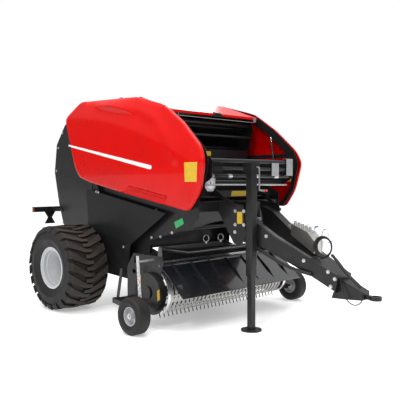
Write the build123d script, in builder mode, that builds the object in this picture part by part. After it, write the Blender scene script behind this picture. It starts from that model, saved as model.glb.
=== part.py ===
"""Round baler, towed and driven from a tractor, with a fixed bale chamber of steel rollers.

Millimetres. x runs forward to the hitch, y to the machine's left, z up from the ground.
The origin lies on the ground at half the overall length. Side profiles are drawn on side(y),
an upright plane whose x is measured forward from the main axle and whose y is height.
"""
import math
import os

from build123d import *

os.makedirs("parts", exist_ok=True)

# ---------------------------------------------------------------- driving dimensions
front_reach = 3321.0          # axle to the tip of the hitch eye
rear_reach = 1030.0           # axle to the back of the light bar
axle_x = (rear_reach - front_reach) / 2
running_gap = 0.3             # air between faces that slide or turn on each other
turn_gap = 0.1                # radial clearance of a shaft in its bore
moving_gap = 6.0              # air between bodies that pass each other

# walls of the bale chamber
chamber_width = 1200.0
wall_thick = 6.0
wall_out = chamber_width / 2 + wall_thick
chamber_x, chamber_z = -30.0, 1490.0
roller_ring = 670.0           # radius of the circle through the roller centres
roller_radius = 95.0
roller_step = 20.0            # degrees between rollers
roller_wall = 6.0
roller_end_gap = 8.0
roller_shaft_radius = 22.0
roller_disc_inset = 20.0      # end discs inside the tube's ends
roller_drain_radius = 12.0

# main wheels
wheel_radius = 466.0
tyre_width = 500.0
wheel_y = 976.0
rim_radius = 216.0
rim_flange_radius = 230.0
rim_width = 420.0
rim_thick = 8.0
disc_inset = 60.0             # wheel disc inboard of the wheel's middle plane
hub_radius = 92.0
spindle_radius = 35.0
axle_section = 110.0

# gauge wheels of the pickup
gauge_radius = 175.0
gauge_width = 150.0
gauge_x = 1481.0
gauge_rim_radius = 88.0
gauge_axle_radius = 14.0

# pickup
reel_x, reel_z = 1375.0, 345.0
tine_tip_radius = 262.0
tine_bar_ring = 150.0
tine_bar_radius = 14.0
tine_radius = 3.5
tine_rows = 5
tine_pitch = 55.0
stripper_radius = 226.0
stripper_width = 36.0
stripper_thick = 3.0
pickup_half = 892.0           # inner face of the pickup's end plates
end_plate_thick = 8.0
tines_per_row = int((2 * pickup_half - 48) / tine_pitch) + 1
arm_y = pickup_half + 178     # gauge wheel arms
gauge_y = pickup_half + 299   # middle of the gauge wheels
pickup_pivot_x, pickup_pivot_z = 950.0, 700.0
pickup_arm_y = chamber_width / 2 - 40   # inner face of the pickup's pivot arms
pickup_arm_thick = 20.0
pickup_tube_wall = 5.0
guard_pivot_x, guard_pivot_z = 1496.0, 610.0

# tailgate
gate_pivot_x, gate_pivot_z = 150.0, 2225.0
gate_pin_radius = 25.0
gate_nose_radius = 40.0       # rounded corner of the front walls about the pivot

# side covers
cover_thick = 4.0
cover_top_y, cover_mid_y, cover_low_y = wall_out + 94, wall_out + 172, wall_out + 142
cover_inner_y = wall_out + 66
cover_hinge_y, cover_hinge_z = wall_out + 48, 2310.0
hinge_pin_radius = 8.0

# drawbar and hitch
nose_x = 3175.0
eye_bore = 50.0
eye_x, eye_z = 3271.0, 423.0
beam_width = 90.0

# gas struts of the covers: foot and head on the side view, and their distance out
strut_foot_place, strut_foot_y = (1655.0, 1590.0), wall_out + 30
strut_head_place, strut_head_y = (1575.0, 1900.0), wall_out + 66

# jack
jack_x, jack_y = 2136.0, -298.0
jack_tube_size = 80.0
jack_wall = 5.0
jack_leg_size = 60.0
jack_top = 1594.0
jack_tube_low = 520.0
foot_radius = 100.0


def side(y=0.0):
    """Upright plane along the machine at y; drawn x is forward of the axle, drawn y is height."""
    return Plane(origin=(axle_x, y, 0), x_dir=(1, 0, 0), z_dir=(0, -1, 0))


def across(x=0.0):
    """Upright plane across the machine, x forward of the axle; drawn x is y, drawn y is height."""
    return Plane.YZ.offset(axle_x + x)


def cross_axis(x, z):
    """Axis across the machine at a place on its side view."""
    return Axis((axle_x + x, 0, z), (0, 1, 0))


# ---------------------------------------------------------------- front side walls
# x, z forward of the axle
wall_outline = [
    (150, 2262), (144, 2185), (-222, 555), (-160, wheel_radius - 71), (330, wheel_radius - 81), (700, 560),
    (905, 655), (1000, 660), (1010, 800), (1240, 870), (1560, 945), (1735, 1060), (1745, 1290), (1480, 1430), (1275, 1650), (1365, 1985),
    (1345, 2100), (900, 2255),
]
hinge_bracket_x = [250.0, 560.0]    # brackets that carry the side covers' hinge pins

with BuildPart() as side_walls:
    with BuildSketch(side(-chamber_width / 2)):
        Polygon(*wall_outline, align=None)
        with Locations((0, wheel_radius)):
            Rectangle(axle_section, axle_section, mode=Mode.SUBTRACT)
        with Locations((gate_pivot_x, gate_pivot_z)):
            Circle(gate_nose_radius)
        # ears for the bonnet's hinge
        Polygon((295, 2250), (365, 2250), (348, 2290), (312, 2290), align=None)
    extrude(amount=wall_thick)
    for bracket_x in hinge_bracket_x:
        with BuildSketch(across(bracket_x - 6)):
            Polygon((-wall_out, 2180), (-wall_out, 2235), (-cover_hinge_y + 12, 2255),
                    (-cover_hinge_y + 12, cover_hinge_z), (-cover_hinge_y - 12, cover_hinge_z),
                    (-cover_hinge_y - 12, 2240), align=None)
            with Locations((-cover_hinge_y, cover_hinge_z)):
                Circle(hinge_pin_radius + 6)
        extrude(amount=12)
    mirror(about=Plane.XZ)

# cross members between the walls: x, z, outside diameter
cross_tubes = [
    (1250, 1560, 60), (1300, 2040, 50), (420, 2190, 60), (1180, 930, 70), (120, 480, 60),
]
cross_tube_wall, frame_beam_wall = 5.0, 6.0
frame_beam_x, frame_beam_z, frame_beam_size = 1675.0, 1170.0, 100.0

with BuildPart() as cross_members:
    for tube_x, tube_z, tube_dia in cross_tubes:
        with BuildSketch(side()):
            with Locations((tube_x, tube_z)):
                Circle(tube_dia / 2)
                Circle(tube_dia / 2 - cross_tube_wall, mode=Mode.SUBTRACT)
        extrude(amount=chamber_width / 2, both=True)
    with BuildSketch(side()):
        with Locations((frame_beam_x, frame_beam_z)):
            Rectangle(frame_beam_size, frame_beam_size)
            Rectangle(frame_beam_size - 2 * frame_beam_wall, frame_beam_size - 2 * frame_beam_wall,
                      mode=Mode.SUBTRACT)
    extrude(amount=chamber_width / 2, both=True)

with BuildPart() as axle_beam:
    with BuildSketch(side()):
        with Locations((0, wheel_radius)):
            Rectangle(axle_section, axle_section)
    extrude(amount=wall_out + 34, both=True)
    with BuildSketch(side()):
        with Locations((0, wheel_radius)):
            Circle(spindle_radius)
    extrude(amount=wheel_y + 20, both=True)


# ---------------------------------------------------------------- bale chamber rollers
def ring_place(angle):
    """Centre of a chamber roller on the side view, angle up from straight ahead."""
    return (
        chamber_x + roller_ring * math.cos(math.radians(angle)),
        chamber_z + roller_ring * math.sin(math.radians(angle)),
    )


first_angle = -26.0
front_angles = [first_angle + roller_step * n for n in (-3, -2, 0, 1, 2, 3, 4, 5)]
gate_angles = [first_angle + roller_step * n for n in range(6, 15)]

tube_half = chamber_width / 2 - roller_end_gap


def roller_set(angles):
    """Tube rollers with a disc inside each end, on shafts that reach both walls."""
    places = [ring_place(angle) for angle in angles]
    with BuildPart(mode=Mode.PRIVATE) as rollers:
        with BuildSketch(side()):
            with Locations(*places):
                Circle(roller_radius)
                Circle(roller_radius - roller_wall, mode=Mode.SUBTRACT)
        extrude(amount=tube_half, both=True)
        with BuildSketch(side()):
            with Locations(*places):
                Circle(roller_shaft_radius)
        extrude(amount=chamber_width / 2, both=True)
        for disc_face in (roller_disc_inset - tube_half, tube_half - roller_disc_inset + roller_wall):
            with BuildSketch(side(disc_face)):
                with Locations(*places):
                    Circle(roller_radius - roller_wall / 2)
                with Locations(*[(x, z + roller_radius / 2) for x, z in places]):
                    Circle(roller_drain_radius, mode=Mode.SUBTRACT)
            extrude(amount=roller_wall)
    return rollers.part


with BuildPart() as front_rollers:
    add(roller_set(front_angles))

with BuildPart() as gate_rollers:
    add(roller_set(gate_angles))

# ---------------------------------------------------------------- tailgate
gate_outline = [
    (85, 2262), (-330, 2262), (-643, 2105), (-835, 1876), (-890, 1532), (-790, 1130),
    (-700, 900), (-430, 620), (-232, 560), (136, 2182), (106, 2237),
]
gate_lug_thick = 8.0
gate_lug_in = wall_out + moving_gap

with BuildPart() as gate_walls:
    with BuildSketch(side(-chamber_width / 2)):
        Polygon(*gate_outline, align=None)
        with Locations((gate_pivot_x, gate_pivot_z)):
            Circle(gate_nose_radius + moving_gap, mode=Mode.SUBTRACT)
    extrude(amount=wall_thick)
    # lugs that reach forward over the pivot pins, outside the front walls
    with BuildSketch(side(-wall_out)):
        with BuildLine():
            Polyline((-160, 2230), (-60, 2090), (-160, 1900), (-320, 2060), close=True)
        make_face()
    extrude(amount=moving_gap + gate_lug_thick)
    with BuildSketch(side(-gate_lug_in)):
        Polygon((-160, 2230), (150, 2262), (165, 2175), (-60, 2090), (-160, 1900), (-320, 2060), align=None)
        with Locations((gate_pivot_x, gate_pivot_z)):
            Circle(55)
            Circle(gate_pin_radius + running_gap, mode=Mode.SUBTRACT)
    extrude(amount=gate_lug_thick)
    mirror(about=Plane.XZ)

skin_thick = 4.0
with BuildPart() as gate_skin:
    with BuildSketch(side()):
        with BuildLine():
            Polyline(
                (-120, 2262), (-330, 2262), (-643, 2105), (-835, 1876), (-890, 1532), (-790, 1130), (-750, 1030),
                (-750 + skin_thick, 1030), (-790 + skin_thick, 1132), (-890 + skin_thick, 1532),
                (-835 + skin_thick, 1873), (-641, 2101), (-331, 2258), (-120, 2258), close=True,
            )
        make_face()
    extrude(amount=chamber_width / 2, both=True)

# light bar across the back of the tailgate
light_half = 850.0
light_z = 1062.0
light_height = 64.0
light_depth = 60.0
light_arm_front = -700.0      # where the bar's arms end on the tailgate's walls
light_arm_long = rear_reach - light_depth + light_arm_front
light_arm_thick = 8.0

light_wall = 4.0
lamp_long = 230.0
hanging_plate = [(-695, 0), (-540, 0), (-588, -76), (-540, -152), (-695, -152), (-647, -76)]   # y, down from the bar

with BuildPart() as light_bar:
    # channel, open to the rear
    with Locations((axle_x - rear_reach + light_depth / 2, 0, light_z)):
        Box(light_depth, 2 * light_half, light_height)
    with Locations((axle_x - rear_reach + (light_depth - light_wall) / 2, 0, light_z)):
        Box(light_depth - light_wall, 2 * light_half, light_height - 2 * light_wall, mode=Mode.SUBTRACT)
    # arms forward along the tailgate's walls
    for arm_place in (-wall_out - light_arm_thick / 2, wall_out + light_arm_thick / 2):
        with Locations((axle_x + light_arm_front - light_arm_long / 2, arm_place, light_z)):
            Box(light_arm_long, light_arm_thick, 40)
    # waisted plates below the channel
    for hand in (1, -1):
        with BuildSketch(across(light_depth / 2 - rear_reach)):
            Polygon(*[(hand * y, light_z - light_height / 2 + 1 + z) for y, z in hanging_plate], align=None)
        extrude(amount=light_wall)

with BuildPart() as lamps:
    for hand in (-1, 1):
        with Locations((axle_x - rear_reach + (light_depth - light_wall) / 2,
                        hand * (light_half - lamp_long / 2), light_z)):
            Box(light_depth - light_wall, lamp_long, light_height - 2 * light_wall)

# ---------------------------------------------------------------- main wheels
lug_height = 22.0
lugs_per_side = 22
lug_turn = 360 / lugs_per_side
carcass_radius = wheel_radius - lug_height
tyre_profile = [
    (-200, rim_radius), (-204, rim_flange_radius), (-246, 320), (-238, 395), (-205, carcass_radius - 6),
    (205, carcass_radius - 6), (238, 395), (246, 320), (204, rim_flange_radius), (200, rim_radius),
]
# one lug seen from outside: run along the tread from the lug's middle, then out from the tyre's middle
lug_outline = [(-89, 250), (-1, 250), (89, 35), (89, -45), (49, -45), (49, 15)]
lug_half = 89.0
lug_shoulder = (40.0, 30.0)   # chamfer at the tyre's shoulder: inward, across
lug_top_radius = math.sqrt(wheel_radius ** 2 - lug_half ** 2)
# a lug's front end stands on the ground
first_lug = 180 - math.degrees(math.asin(lug_half / wheel_radius))

with BuildPart() as tyre_right:
    with BuildSketch(across()):
        Polygon(*[(-wheel_y + w, wheel_radius + r) for w, r in tyre_profile], align=None)
    revolve(axis=cross_axis(0, wheel_radius))
    # both sides' lugs point the same way, half a pitch apart
    lug_bars = []
    for hand, phase in ((1, 0.0), (-1, 0.5)):
        with BuildPart(mode=Mode.PRIVATE) as lug:
            lug_top = Plane(origin=(axle_x, -wheel_y, wheel_radius + lug_top_radius), z_dir=(0, 0, -1),
                            x_dir=(1, 0, 0))
            with BuildSketch(lug_top):
                Polygon(*[(run, hand * w) for run, w in lug_outline], align=None)
            extrude(amount=60)
            rim_edge = lug.faces().sort_by(Axis.Z)[-1].edges().filter_by(Axis.X).sort_by(
                lambda edge: abs(edge.center().Y + wheel_y))[-1]
            chamfer(rim_edge, length=lug_shoulder[0], length2=lug_shoulder[1],
                    reference=lug.faces().sort_by(lambda face: abs(face.center().Y + wheel_y))[-1])
        for n in range(lugs_per_side):
            lug_bars.append(lug.part.rotate(cross_axis(0, wheel_radius), first_lug + lug_turn * (n + phase)))
    add(lug_bars)

rim_half = rim_width / 2
disc_y = -wheel_y + disc_inset
# out from the wheel's middle, radius
rim_dish = [
    (rim_half - 6, rim_radius - rim_thick + 1), (rim_half - 14, rim_radius - 22), (rim_half - 48, rim_radius - 25),
    (rim_half - 54, rim_radius - 40), (rim_half - 72, rim_radius - 44), (rim_thick - disc_inset, hub_radius + 8),
    (rim_thick - disc_inset, hub_radius - 20), (-disc_inset, hub_radius - 20), (-disc_inset, hub_radius + 14),
    (rim_half - 76, rim_radius - 36), (rim_half - 61, rim_radius - 32), (rim_half - 55, rim_radius - 17),
    (rim_half - 22, rim_radius - 14), (rim_half - 18, rim_radius - rim_thick + 1),
]
with BuildPart() as rim_right:
    with BuildSketch(across()):
        with BuildLine():
            Polyline(
                (-wheel_y - rim_half, wheel_radius + rim_flange_radius),
                (-wheel_y - rim_half, wheel_radius + rim_radius - rim_thick),
                (-wheel_y + rim_half, wheel_radius + rim_radius - rim_thick),
                (-wheel_y + rim_half, wheel_radius + rim_flange_radius),
                (-wheel_y + rim_half - 4, wheel_radius + rim_flange_radius),
                (-wheel_y + rim_half - 4, wheel_radius + rim_radius),
                (-wheel_y - rim_half + 4, wheel_radius + rim_radius),
                (-wheel_y - rim_half + 4, wheel_radius + rim_flange_radius),
                close=True,
            )
        make_face()
    revolve(axis=cross_axis(0, wheel_radius))
    # stepped seat and conical dish, from the outer edge in to the hub
    with BuildSketch(across()):
        Polygon(*[(-wheel_y - w, wheel_radius + r) for w, r in rim_dish], align=None)
    revolve(axis=cross_axis(0, wheel_radius))

with BuildPart() as hub_right:
    with BuildSketch(side(disc_y - rim_thick)):
        with Locations((0, wheel_radius)):
            Circle(hub_radius)
    extrude(amount=12)
    with BuildSketch(side(disc_y + 60)):
        with Locations((0, wheel_radius)):
            Circle(hub_radius - 20)
    extrude(amount=150)
    with BuildSketch(side(disc_y + 60)):
        with Locations((0, wheel_radius)):
            Circle(spindle_radius + running_gap)
    extrude(amount=wheel_y + disc_y - 60 + 80 + 60, mode=Mode.SUBTRACT)

with BuildPart() as tyre_left:
    add(mirror(tyre_right.part, about=Plane.XZ, mode=Mode.PRIVATE))
with BuildPart() as rim_left:
    add(mirror(rim_right.part, about=Plane.XZ, mode=Mode.PRIVATE))
with BuildPart() as hub_left:
    add(mirror(hub_right.part, about=Plane.XZ, mode=Mode.PRIVATE))

# ---------------------------------------------------------------- lower side guards
fold_rear, fold_front = (14.0, 878.0), (792.0, 746.0)
guard_edge_y, guard_fold_y, guard_thick = wall_out + 62, wall_out + 94, 3.0
fold_run = Vector(fold_front[0] - fold_rear[0], 0, fold_front[1] - fold_rear[1]).normalized()
fold_plane = Plane(origin=(axle_x + fold_rear[0], 0, fold_rear[1]), x_dir=(0, 1, 0), z_dir=fold_run)
side_guard_outline = [
    (-88, 1334), (1336, 1096), (792, 746), (692, 372), (374, 388), (-130, 400), (-150, 700), (14, 878),
]

with BuildPart() as side_guards:
    with BuildSketch(fold_plane):
        with BuildLine():
            Polyline(
                (-guard_edge_y, 520), (-guard_fold_y, 0), (-guard_edge_y, -520),
                (-guard_edge_y + guard_thick, -520), (-guard_fold_y + guard_thick, 0),
                (-guard_edge_y + guard_thick, 520), close=True,
            )
        make_face()
    extrude(amount=1600, both=True)
    with BuildSketch(side()):
        Polygon(*side_guard_outline, align=None)
    extrude(amount=1000, both=True, mode=Mode.INTERSECT)
    # blocks that bolt the sheets to the walls
    for block_x, block_z in [(-60, 1300), (1220, 1100), (340, 420), (-100, 430)]:
        with BuildSketch(side(-wall_out)):
            with Locations((block_x, block_z)):
                Rectangle(40, 30)
        extrude(amount=guard_edge_y - wall_out - 1)
    # round hole for the axle
    with BuildSketch(side()):
        with Locations((0, wheel_radius)):
            Circle(axle_section * 0.75)
    extrude(amount=1000, both=True, mode=Mode.SUBTRACT)
    mirror(about=Plane.XZ)

# ---------------------------------------------------------------- front guard over the feed
front_guard_thick = 5.0
with BuildPart() as front_guard:
    with BuildSketch(side()):
        Polygon((1610, 1120), (1520, 930), (1515, 930), (1605, 1120), align=None)
    extrude(amount=chamber_width / 2, both=True)
    with BuildSketch(across(1400)):
        with BuildLine():
            arch = ThreePointArc((-520, 930), (0, 1010), (520, 930))
            Line(arch @ 1, arch @ 0)
        make_face()
    extrude(amount=300, mode=Mode.SUBTRACT)

# ---------------------------------------------------------------- drawbar
# near beam on its side view: x, z of the top edge and the bottom edge
beam_top = [(1830, 1165), (2010, 1110), (2330, 905), (2650, 740), (2960, 590)]
beam_low = [(2930, 450), (2690, 575), (2240, 780), (2010, 830), (1900, 860)]
beam_plate = 8.0
beam_rise = beam_plate * 1.2  # the same plate measured upright
# hollow of the box section, open at its rear end
beam_hollow = (
    [(1815, 1169 - beam_rise)] + [(x, z - beam_rise) for x, z in beam_top[1:-1]] + [(2945, 586), (2920, 466)]
    + [(x, z + beam_rise) for x, z in beam_low[1:-1]] + [(1885, 864 + beam_rise)]
)
beam_rear_y, beam_front_y = 255.0, 60.0
bracket_rear = frame_beam_x + frame_beam_size / 2
beam_angle = math.atan2(beam_rear_y - beam_front_y, 2960 - 1830)
stretch = 1 / math.cos(beam_angle)


def beam_plane(hand):
    """Middle plane of a drawbar beam, which runs in towards the nose; hand is -1 on the right."""
    return Plane(
        origin=(axle_x + 1830, hand * beam_rear_y, 0),
        x_dir=(math.cos(beam_angle), -hand * math.sin(beam_angle), 0),
        z_dir=(-hand * math.sin(beam_angle), -math.cos(beam_angle), 0),
    )


near = beam_plane(-1)
far = beam_plane(1)

with BuildPart() as drawbar:
    with BuildSketch(near):
        Polygon(*[((x - 1830) * stretch, z) for x, z in beam_top + beam_low], align=None)
    extrude(amount=beam_width / 2, both=True)
    with BuildSketch(near):
        Polygon(*[((x - 1830) * stretch, z) for x, z in beam_hollow], align=None)
    extrude(amount=beam_width / 2 - beam_plate, both=True, mode=Mode.SUBTRACT)
    mirror(about=Plane.XZ)
    # plate that closes the top between the beams, and the end plate that carries the nose
    with BuildSketch(side()):
        Polygon((2665, 731), (2956, 590), (2956, 580), (2665, 721), align=None)
    extrude(amount=90, both=True)
    with BuildSketch(side()):
        Polygon((2955, 600), (2967, 600), (2937, 440), (2925, 440), align=None)
    extrude(amount=100, both=True)
    # bracket plates bolted to the frame beam, on the outer faces of the beams
    with BuildSketch(near.offset(beam_width / 2)):
        bracket_back = bracket_rear + running_gap - beam_width / 2 * math.sin(beam_angle)
        bracket_places = [(bracket_back, 1215), (2000, 1190), (2040, 900), (1985, 800), (1900, 810),
                          (bracket_back, 1125)]
        Polygon(*[((x - 1830) * stretch, z) for x, z in bracket_places], align=None)
    bracket = extrude(amount=10)
    add(mirror(bracket, about=Plane.XZ, mode=Mode.PRIVATE))

with BuildPart() as hitch_nose:
    with BuildSketch(side()):
        Polygon((2959.5, 560), (2937, 440), (2890, 440), (2870, 380), (3000, 385), (nose_x, 398), (nose_x, 468),
                (3060, 520), align=None)
    extrude(amount=60, both=True)

with BuildPart() as hitch_eye:
    with Locations((axle_x + eye_x, 0, eye_z)):
        Cylinder(50, 34)
        Cylinder(eye_bore / 2, 40, mode=Mode.SUBTRACT)
    with Locations((axle_x + (nose_x + eye_x - 30) / 2, 0, eye_z)):
        Box(eye_x - 30 - nose_x, 44, 34)

# ---------------------------------------------------------------- gearbox and drive stub
gearbox_front = 1905.0
pto_z = 1040.0
pto_radius = 17.45
with BuildPart() as gearbox:
    with Locations((axle_x + (bracket_rear + gearbox_front) / 2, 0, pto_z + 40)):
        Box(gearbox_front - bracket_rear, 200, 260)

with BuildPart() as drive_stub:
    with BuildSketch(across(gearbox_front)):
        with Locations((0, pto_z)):
            Circle(pto_radius)
    extrude(amount=90)

# ---------------------------------------------------------------- jack
with BuildPart() as jack_tube:
    with BuildSketch(Plane.XY.offset(jack_tube_low)):
        with Locations((axle_x + jack_x, jack_y)):
            RectangleRounded(jack_tube_size, jack_tube_size, 12)
            RectangleRounded(jack_leg_size + 2 * running_gap, jack_leg_size + 2 * running_gap, 8, mode=Mode.SUBTRACT)
    extrude(amount=jack_top - 100 - jack_tube_low)
    with BuildSketch(Plane.XY.offset(jack_top - 100)):
        with Locations((axle_x + jack_x, jack_y)):
            RectangleRounded(130, 110, 15)
    extrude(amount=100)
    # ridges round the head
    for ridge_z in (jack_top - 88, jack_top - 12):
        with BuildSketch(Plane.XY.offset(ridge_z - 5)):
            with Locations((axle_x + jack_x, jack_y)):
                RectangleRounded(138, 118, 17)
        extrude(amount=10)
    # pad that bolts the tube to the beam's outer face
    with BuildSketch(near.offset(beam_width / 2)):
        Polygon(*[((x - 1830) * stretch, z) for x, z in [(2100, 850), (2170, 850), (2170, 960), (2100, 960)]],
                align=None)
    extrude(amount=12)

with BuildPart() as jack_leg:
    with BuildSketch(Plane.XY.offset(14)):
        with Locations((axle_x + jack_x, jack_y)):
            RectangleRounded(jack_leg_size, jack_leg_size, 8)
            RectangleRounded(jack_leg_size - 2 * jack_wall, jack_leg_size - 2 * jack_wall, 4, mode=Mode.SUBTRACT)
    extrude(amount=jack_top - 420)
    with Locations((axle_x + jack_x, jack_y, 7)):
        Cylinder(foot_radius, 14)

with BuildPart() as jack_crank:
    with BuildLine():
        crank_route = FilletPolyline(
            (axle_x + jack_x + 65 + running_gap, jack_y, 1548), (axle_x + jack_x + 96, jack_y, 1548),
            (axle_x + jack_x + 96, jack_y, 1330), (axle_x + jack_x + 190, jack_y, 1330), radius=20,
        )
    with BuildSketch(Plane(origin=crank_route @ 0, z_dir=crank_route % 0)):
        Circle(6.5)
    sweep()

# ---------------------------------------------------------------- wrap box at the front
rail_front_x = 1900.0
rail_end = 640.0
wrap_rail_list = [(1900, 1612, 48), (1900, 1540, 40), (1880, 1467, 40), (1760, 1400, 60)]
rail_wall = 4.0
arm_thick = 8.0
strut_ball_radius = 14.0
with BuildPart() as wrap_frame:
    with BuildSketch(side(-wall_out)):
        Polygon((1230, 1500), (1260, 1640), (1900, 1645), (1935, 1610), (1920, 1450), (1760, 1360), (1480, 1380),
                align=None)
    extrude(amount=arm_thick)
    # studs for the gas struts' feet
    with BuildSketch(side(-wall_out - arm_thick)):
        with Locations(strut_foot_place):
            Circle(6)
    extrude(amount=strut_foot_y - strut_ball_radius - running_gap - wall_out - arm_thick)
    mirror(about=Plane.XZ)
    for rail_x, rail_z, rail_dia in wrap_rail_list:
        with BuildSketch(side()):
            with Locations((rail_x, rail_z)):
                Circle(rail_dia / 2)
                Circle(rail_dia / 2 - rail_wall, mode=Mode.SUBTRACT)
        extrude(amount=wall_out, both=True)

with BuildPart() as wrap_box:
    with BuildSketch(side()):
        Polygon((1300, 1640), (1300, 1300), (1640, 1300), (1640, 1304), (1304, 1304), (1304, 1640), align=None)
    extrude(amount=chamber_width / 2, both=True)

# ---------------------------------------------------------------- bonnet
bonnet_half = wall_out + 26
bonnet_hinge_x, bonnet_hinge_z = 330.0, 2285.0
with BuildPart() as bonnet:
    with BuildSketch(side()):
        with BuildLine():
            Polyline((330, 2306), (900, 2303), (1405, 2132), (1405, 2106), (1401, 2106), (1401, 2129), (899, 2299),
                     (330, 2302), close=True)
        make_face()
    extrude(amount=bonnet_half, both=True)
    for flange_y in (-bonnet_half + 4, bonnet_half):
        with BuildSketch(side(flange_y)):
            Polygon((312, 2302), (899, 2299), (1401, 2129), (1401, 2112), (899, 2262), (312, 2265), align=None)
            with Locations((bonnet_hinge_x, bonnet_hinge_z)):
                Circle(hinge_pin_radius + turn_gap, mode=Mode.SUBTRACT)
        extrude(amount=4)

# ---------------------------------------------------------------- side covers
cover_outline = [
    (-94, 2331), (-229, 2244), (-370, 2148), (-163, 1577), (-67, 1456), (143, 1404), (764, 1291),
    (1740, 1131), (1888, 1321), (1954, 1609), (1897, 1741), (1637, 1977), (1338, 2179), (887, 2300),
]
cover_corner_radius = 90.0
# shoulder: above this circle on the side view the cover leans in as a cone
shoulder_x, shoulder_z, shoulder_radius = -585.0, -3138.0, 5293.0
shoulder_lean = 13.0
# front wrap: a round along the front edge, from wrap_start behind its line to wrap_end ahead of it
wrap_start, wrap_end, wrap_radius = -240.0, 70.0, 600.0
wrap_line = [(1740.0, 1131.0), (1954.0, 1609.0)]
# grip recess near the lower edge
grip_outline = [(715, 1291), (854, 1377), (1465, 1274), (1385, 1182)]
grip_depth = 34.0


def cover_face(inset):
    """Side view of a cover with rounded corners, drawn in by inset; used inside a sketch."""
    with BuildSketch(mode=Mode.PRIVATE) as face:
        Polygon(*cover_outline, align=None)
        if inset:
            offset(amount=-inset, kind=Kind.INTERSECTION)
        fillet(face.vertices(), cover_corner_radius - inset)
    return face.sketch


wrap_way = (Vector(*wrap_line[1]) - Vector(*wrap_line[0])).normalized()
wrap_plane = Plane(
    origin=(axle_x + wrap_line[1][0], 0, wrap_line[1][1]), x_dir=(wrap_way.Y, 0, -wrap_way.X),
    z_dir=(wrap_way.X, 0, wrap_way.Y),
)


def cover_form(inset):
    """Solid form of the right cover, drawn in by inset from every face but the open inner one."""
    mid_y = cover_mid_y - inset
    inner_y = cover_inner_y - inset
    with BuildPart(mode=Mode.PRIVATE) as form:
        with BuildSketch(across(-600)):
            with BuildLine():
                Line((-mid_y, 2340), (-mid_y, 1640))
                face_line = TangentArc((-mid_y, 1640), (-cover_low_y + inset, 1100), tangent=(0, -1))
                Polyline(face_line @ 1, (-inner_y, 1100), (-inner_y, 2340), (-mid_y, 2340))
            make_face()
        extrude(amount=2700)
        with BuildSketch(side()):
            add(cover_face(inset))
        extrude(amount=1000, mode=Mode.INTERSECT)
        # shoulder
        reach = 500.0
        lean_in = reach * math.tan(math.radians(shoulder_lean))
        crease_z = shoulder_z + shoulder_radius
        with BuildSketch(across(shoulder_x)):
            Polygon((-mid_y, crease_z), (-mid_y + lean_in, crease_z + reach), (-1000, crease_z + reach),
                    (-1000, crease_z), align=None)
        revolve(axis=cross_axis(shoulder_x, shoulder_z), mode=Mode.SUBTRACT)
        # front wrap
        with BuildSketch(wrap_plane):
            with BuildLine():
                places = []
                for share in (0, 0.5, 1):
                    run = share * (wrap_end - wrap_start)
                    places.append((wrap_start + run, -mid_y + wrap_radius - math.sqrt(wrap_radius ** 2 - run ** 2)))
                ThreePointArc(*places)
                Polyline(places[2], (wrap_end, -1000), (wrap_start, -1000), places[0])
            make_face()
        extrude(amount=900, both=True, mode=Mode.SUBTRACT)
        # grip recess
        with BuildSketch(side(-cover_mid_y - 20)):
            Polygon(*grip_outline, align=None)
            fillet(vertices(), 20)
            if inset:
                offset(amount=inset)
        extrude(amount=-(20 + cover_mid_y - cover_low_y + grip_depth + inset), taper=25, mode=Mode.SUBTRACT)
    return form.part


with BuildPart() as cover_right:
    add(cover_form(0.0))
    add(cover_form(cover_thick), mode=Mode.SUBTRACT)

frame_band, frame_thick, frame_y = 50.0, 3.0, cover_inner_y + 8
frame_rear, frame_front, frame_rib_z = -190.0, 1890.0, 1690.0
frame_low, frame_high, frame_rib_x = 1245.0, 2195.0, 1180.0
with BuildPart() as cover_frame_right:
    with BuildSketch(side(-frame_y)):
        add(cover_face(cover_thick))
        add(cover_face(cover_thick + frame_band), mode=Mode.SUBTRACT)
        # one rib along the cover and one upright
        with Locations(((frame_rear + frame_front) / 2, frame_rib_z)):
            Rectangle(frame_front - frame_rear, 45)
        with Locations((frame_rib_x, (frame_low + frame_high) / 2)):
            Rectangle(45, frame_high - frame_low)
    extrude(amount=frame_thick)
    # bracket beside the gas strut's head
    with BuildSketch(side(-frame_y)):
        Polygon((1590, 1975), (1622, 1975), (1622, 1870), (1590, 1870), align=None)
    extrude(amount=frame_thick)
    with BuildSketch(across(strut_head_place[0] + 15)):
        Polygon((-frame_y, 1880), (-frame_y, 1930), (-strut_head_y - 2, 1915), (-strut_head_y - 2, 1890), align=None)
    extrude(amount=4)
    # knuckles round the hinge pins
    for bracket_x in hinge_bracket_x:
        with BuildSketch(across(bracket_x + 6 + running_gap)):
            Polygon((-frame_y, 2240), (-frame_y, 2290), (-cover_hinge_y, cover_hinge_z + 12),
                    (-cover_hinge_y, cover_hinge_z - 12), align=None)
            with Locations((-cover_hinge_y, cover_hinge_z)):
                Circle(hinge_pin_radius + 6)
                Circle(hinge_pin_radius + turn_gap, mode=Mode.SUBTRACT)
        extrude(amount=30)

with BuildPart() as cover_left:
    add(mirror(cover_right.part, about=Plane.XZ, mode=Mode.PRIVATE))
with BuildPart() as cover_frame_left:
    add(mirror(cover_frame_right.part, about=Plane.XZ, mode=Mode.PRIVATE))

# gas struts: from the wrap frame's arms to the covers' frames
strut_foot = Vector(axle_x + strut_foot_place[0], -strut_foot_y, strut_foot_place[1])
strut_head = Vector(axle_x + strut_head_place[0], -strut_head_y, strut_head_place[1])
strut_radius, strut_rod_radius, strut_eye_radius = 11.0, 5.0, 10.0


def round_bar(start, end, radius):
    """A round bar between two points."""
    with BuildPart(mode=Mode.PRIVATE) as bar:
        with BuildSketch(Plane(origin=start, z_dir=end - start)):
            Circle(radius)
        extrude(amount=(end - start).length)
    return bar.part


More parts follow.
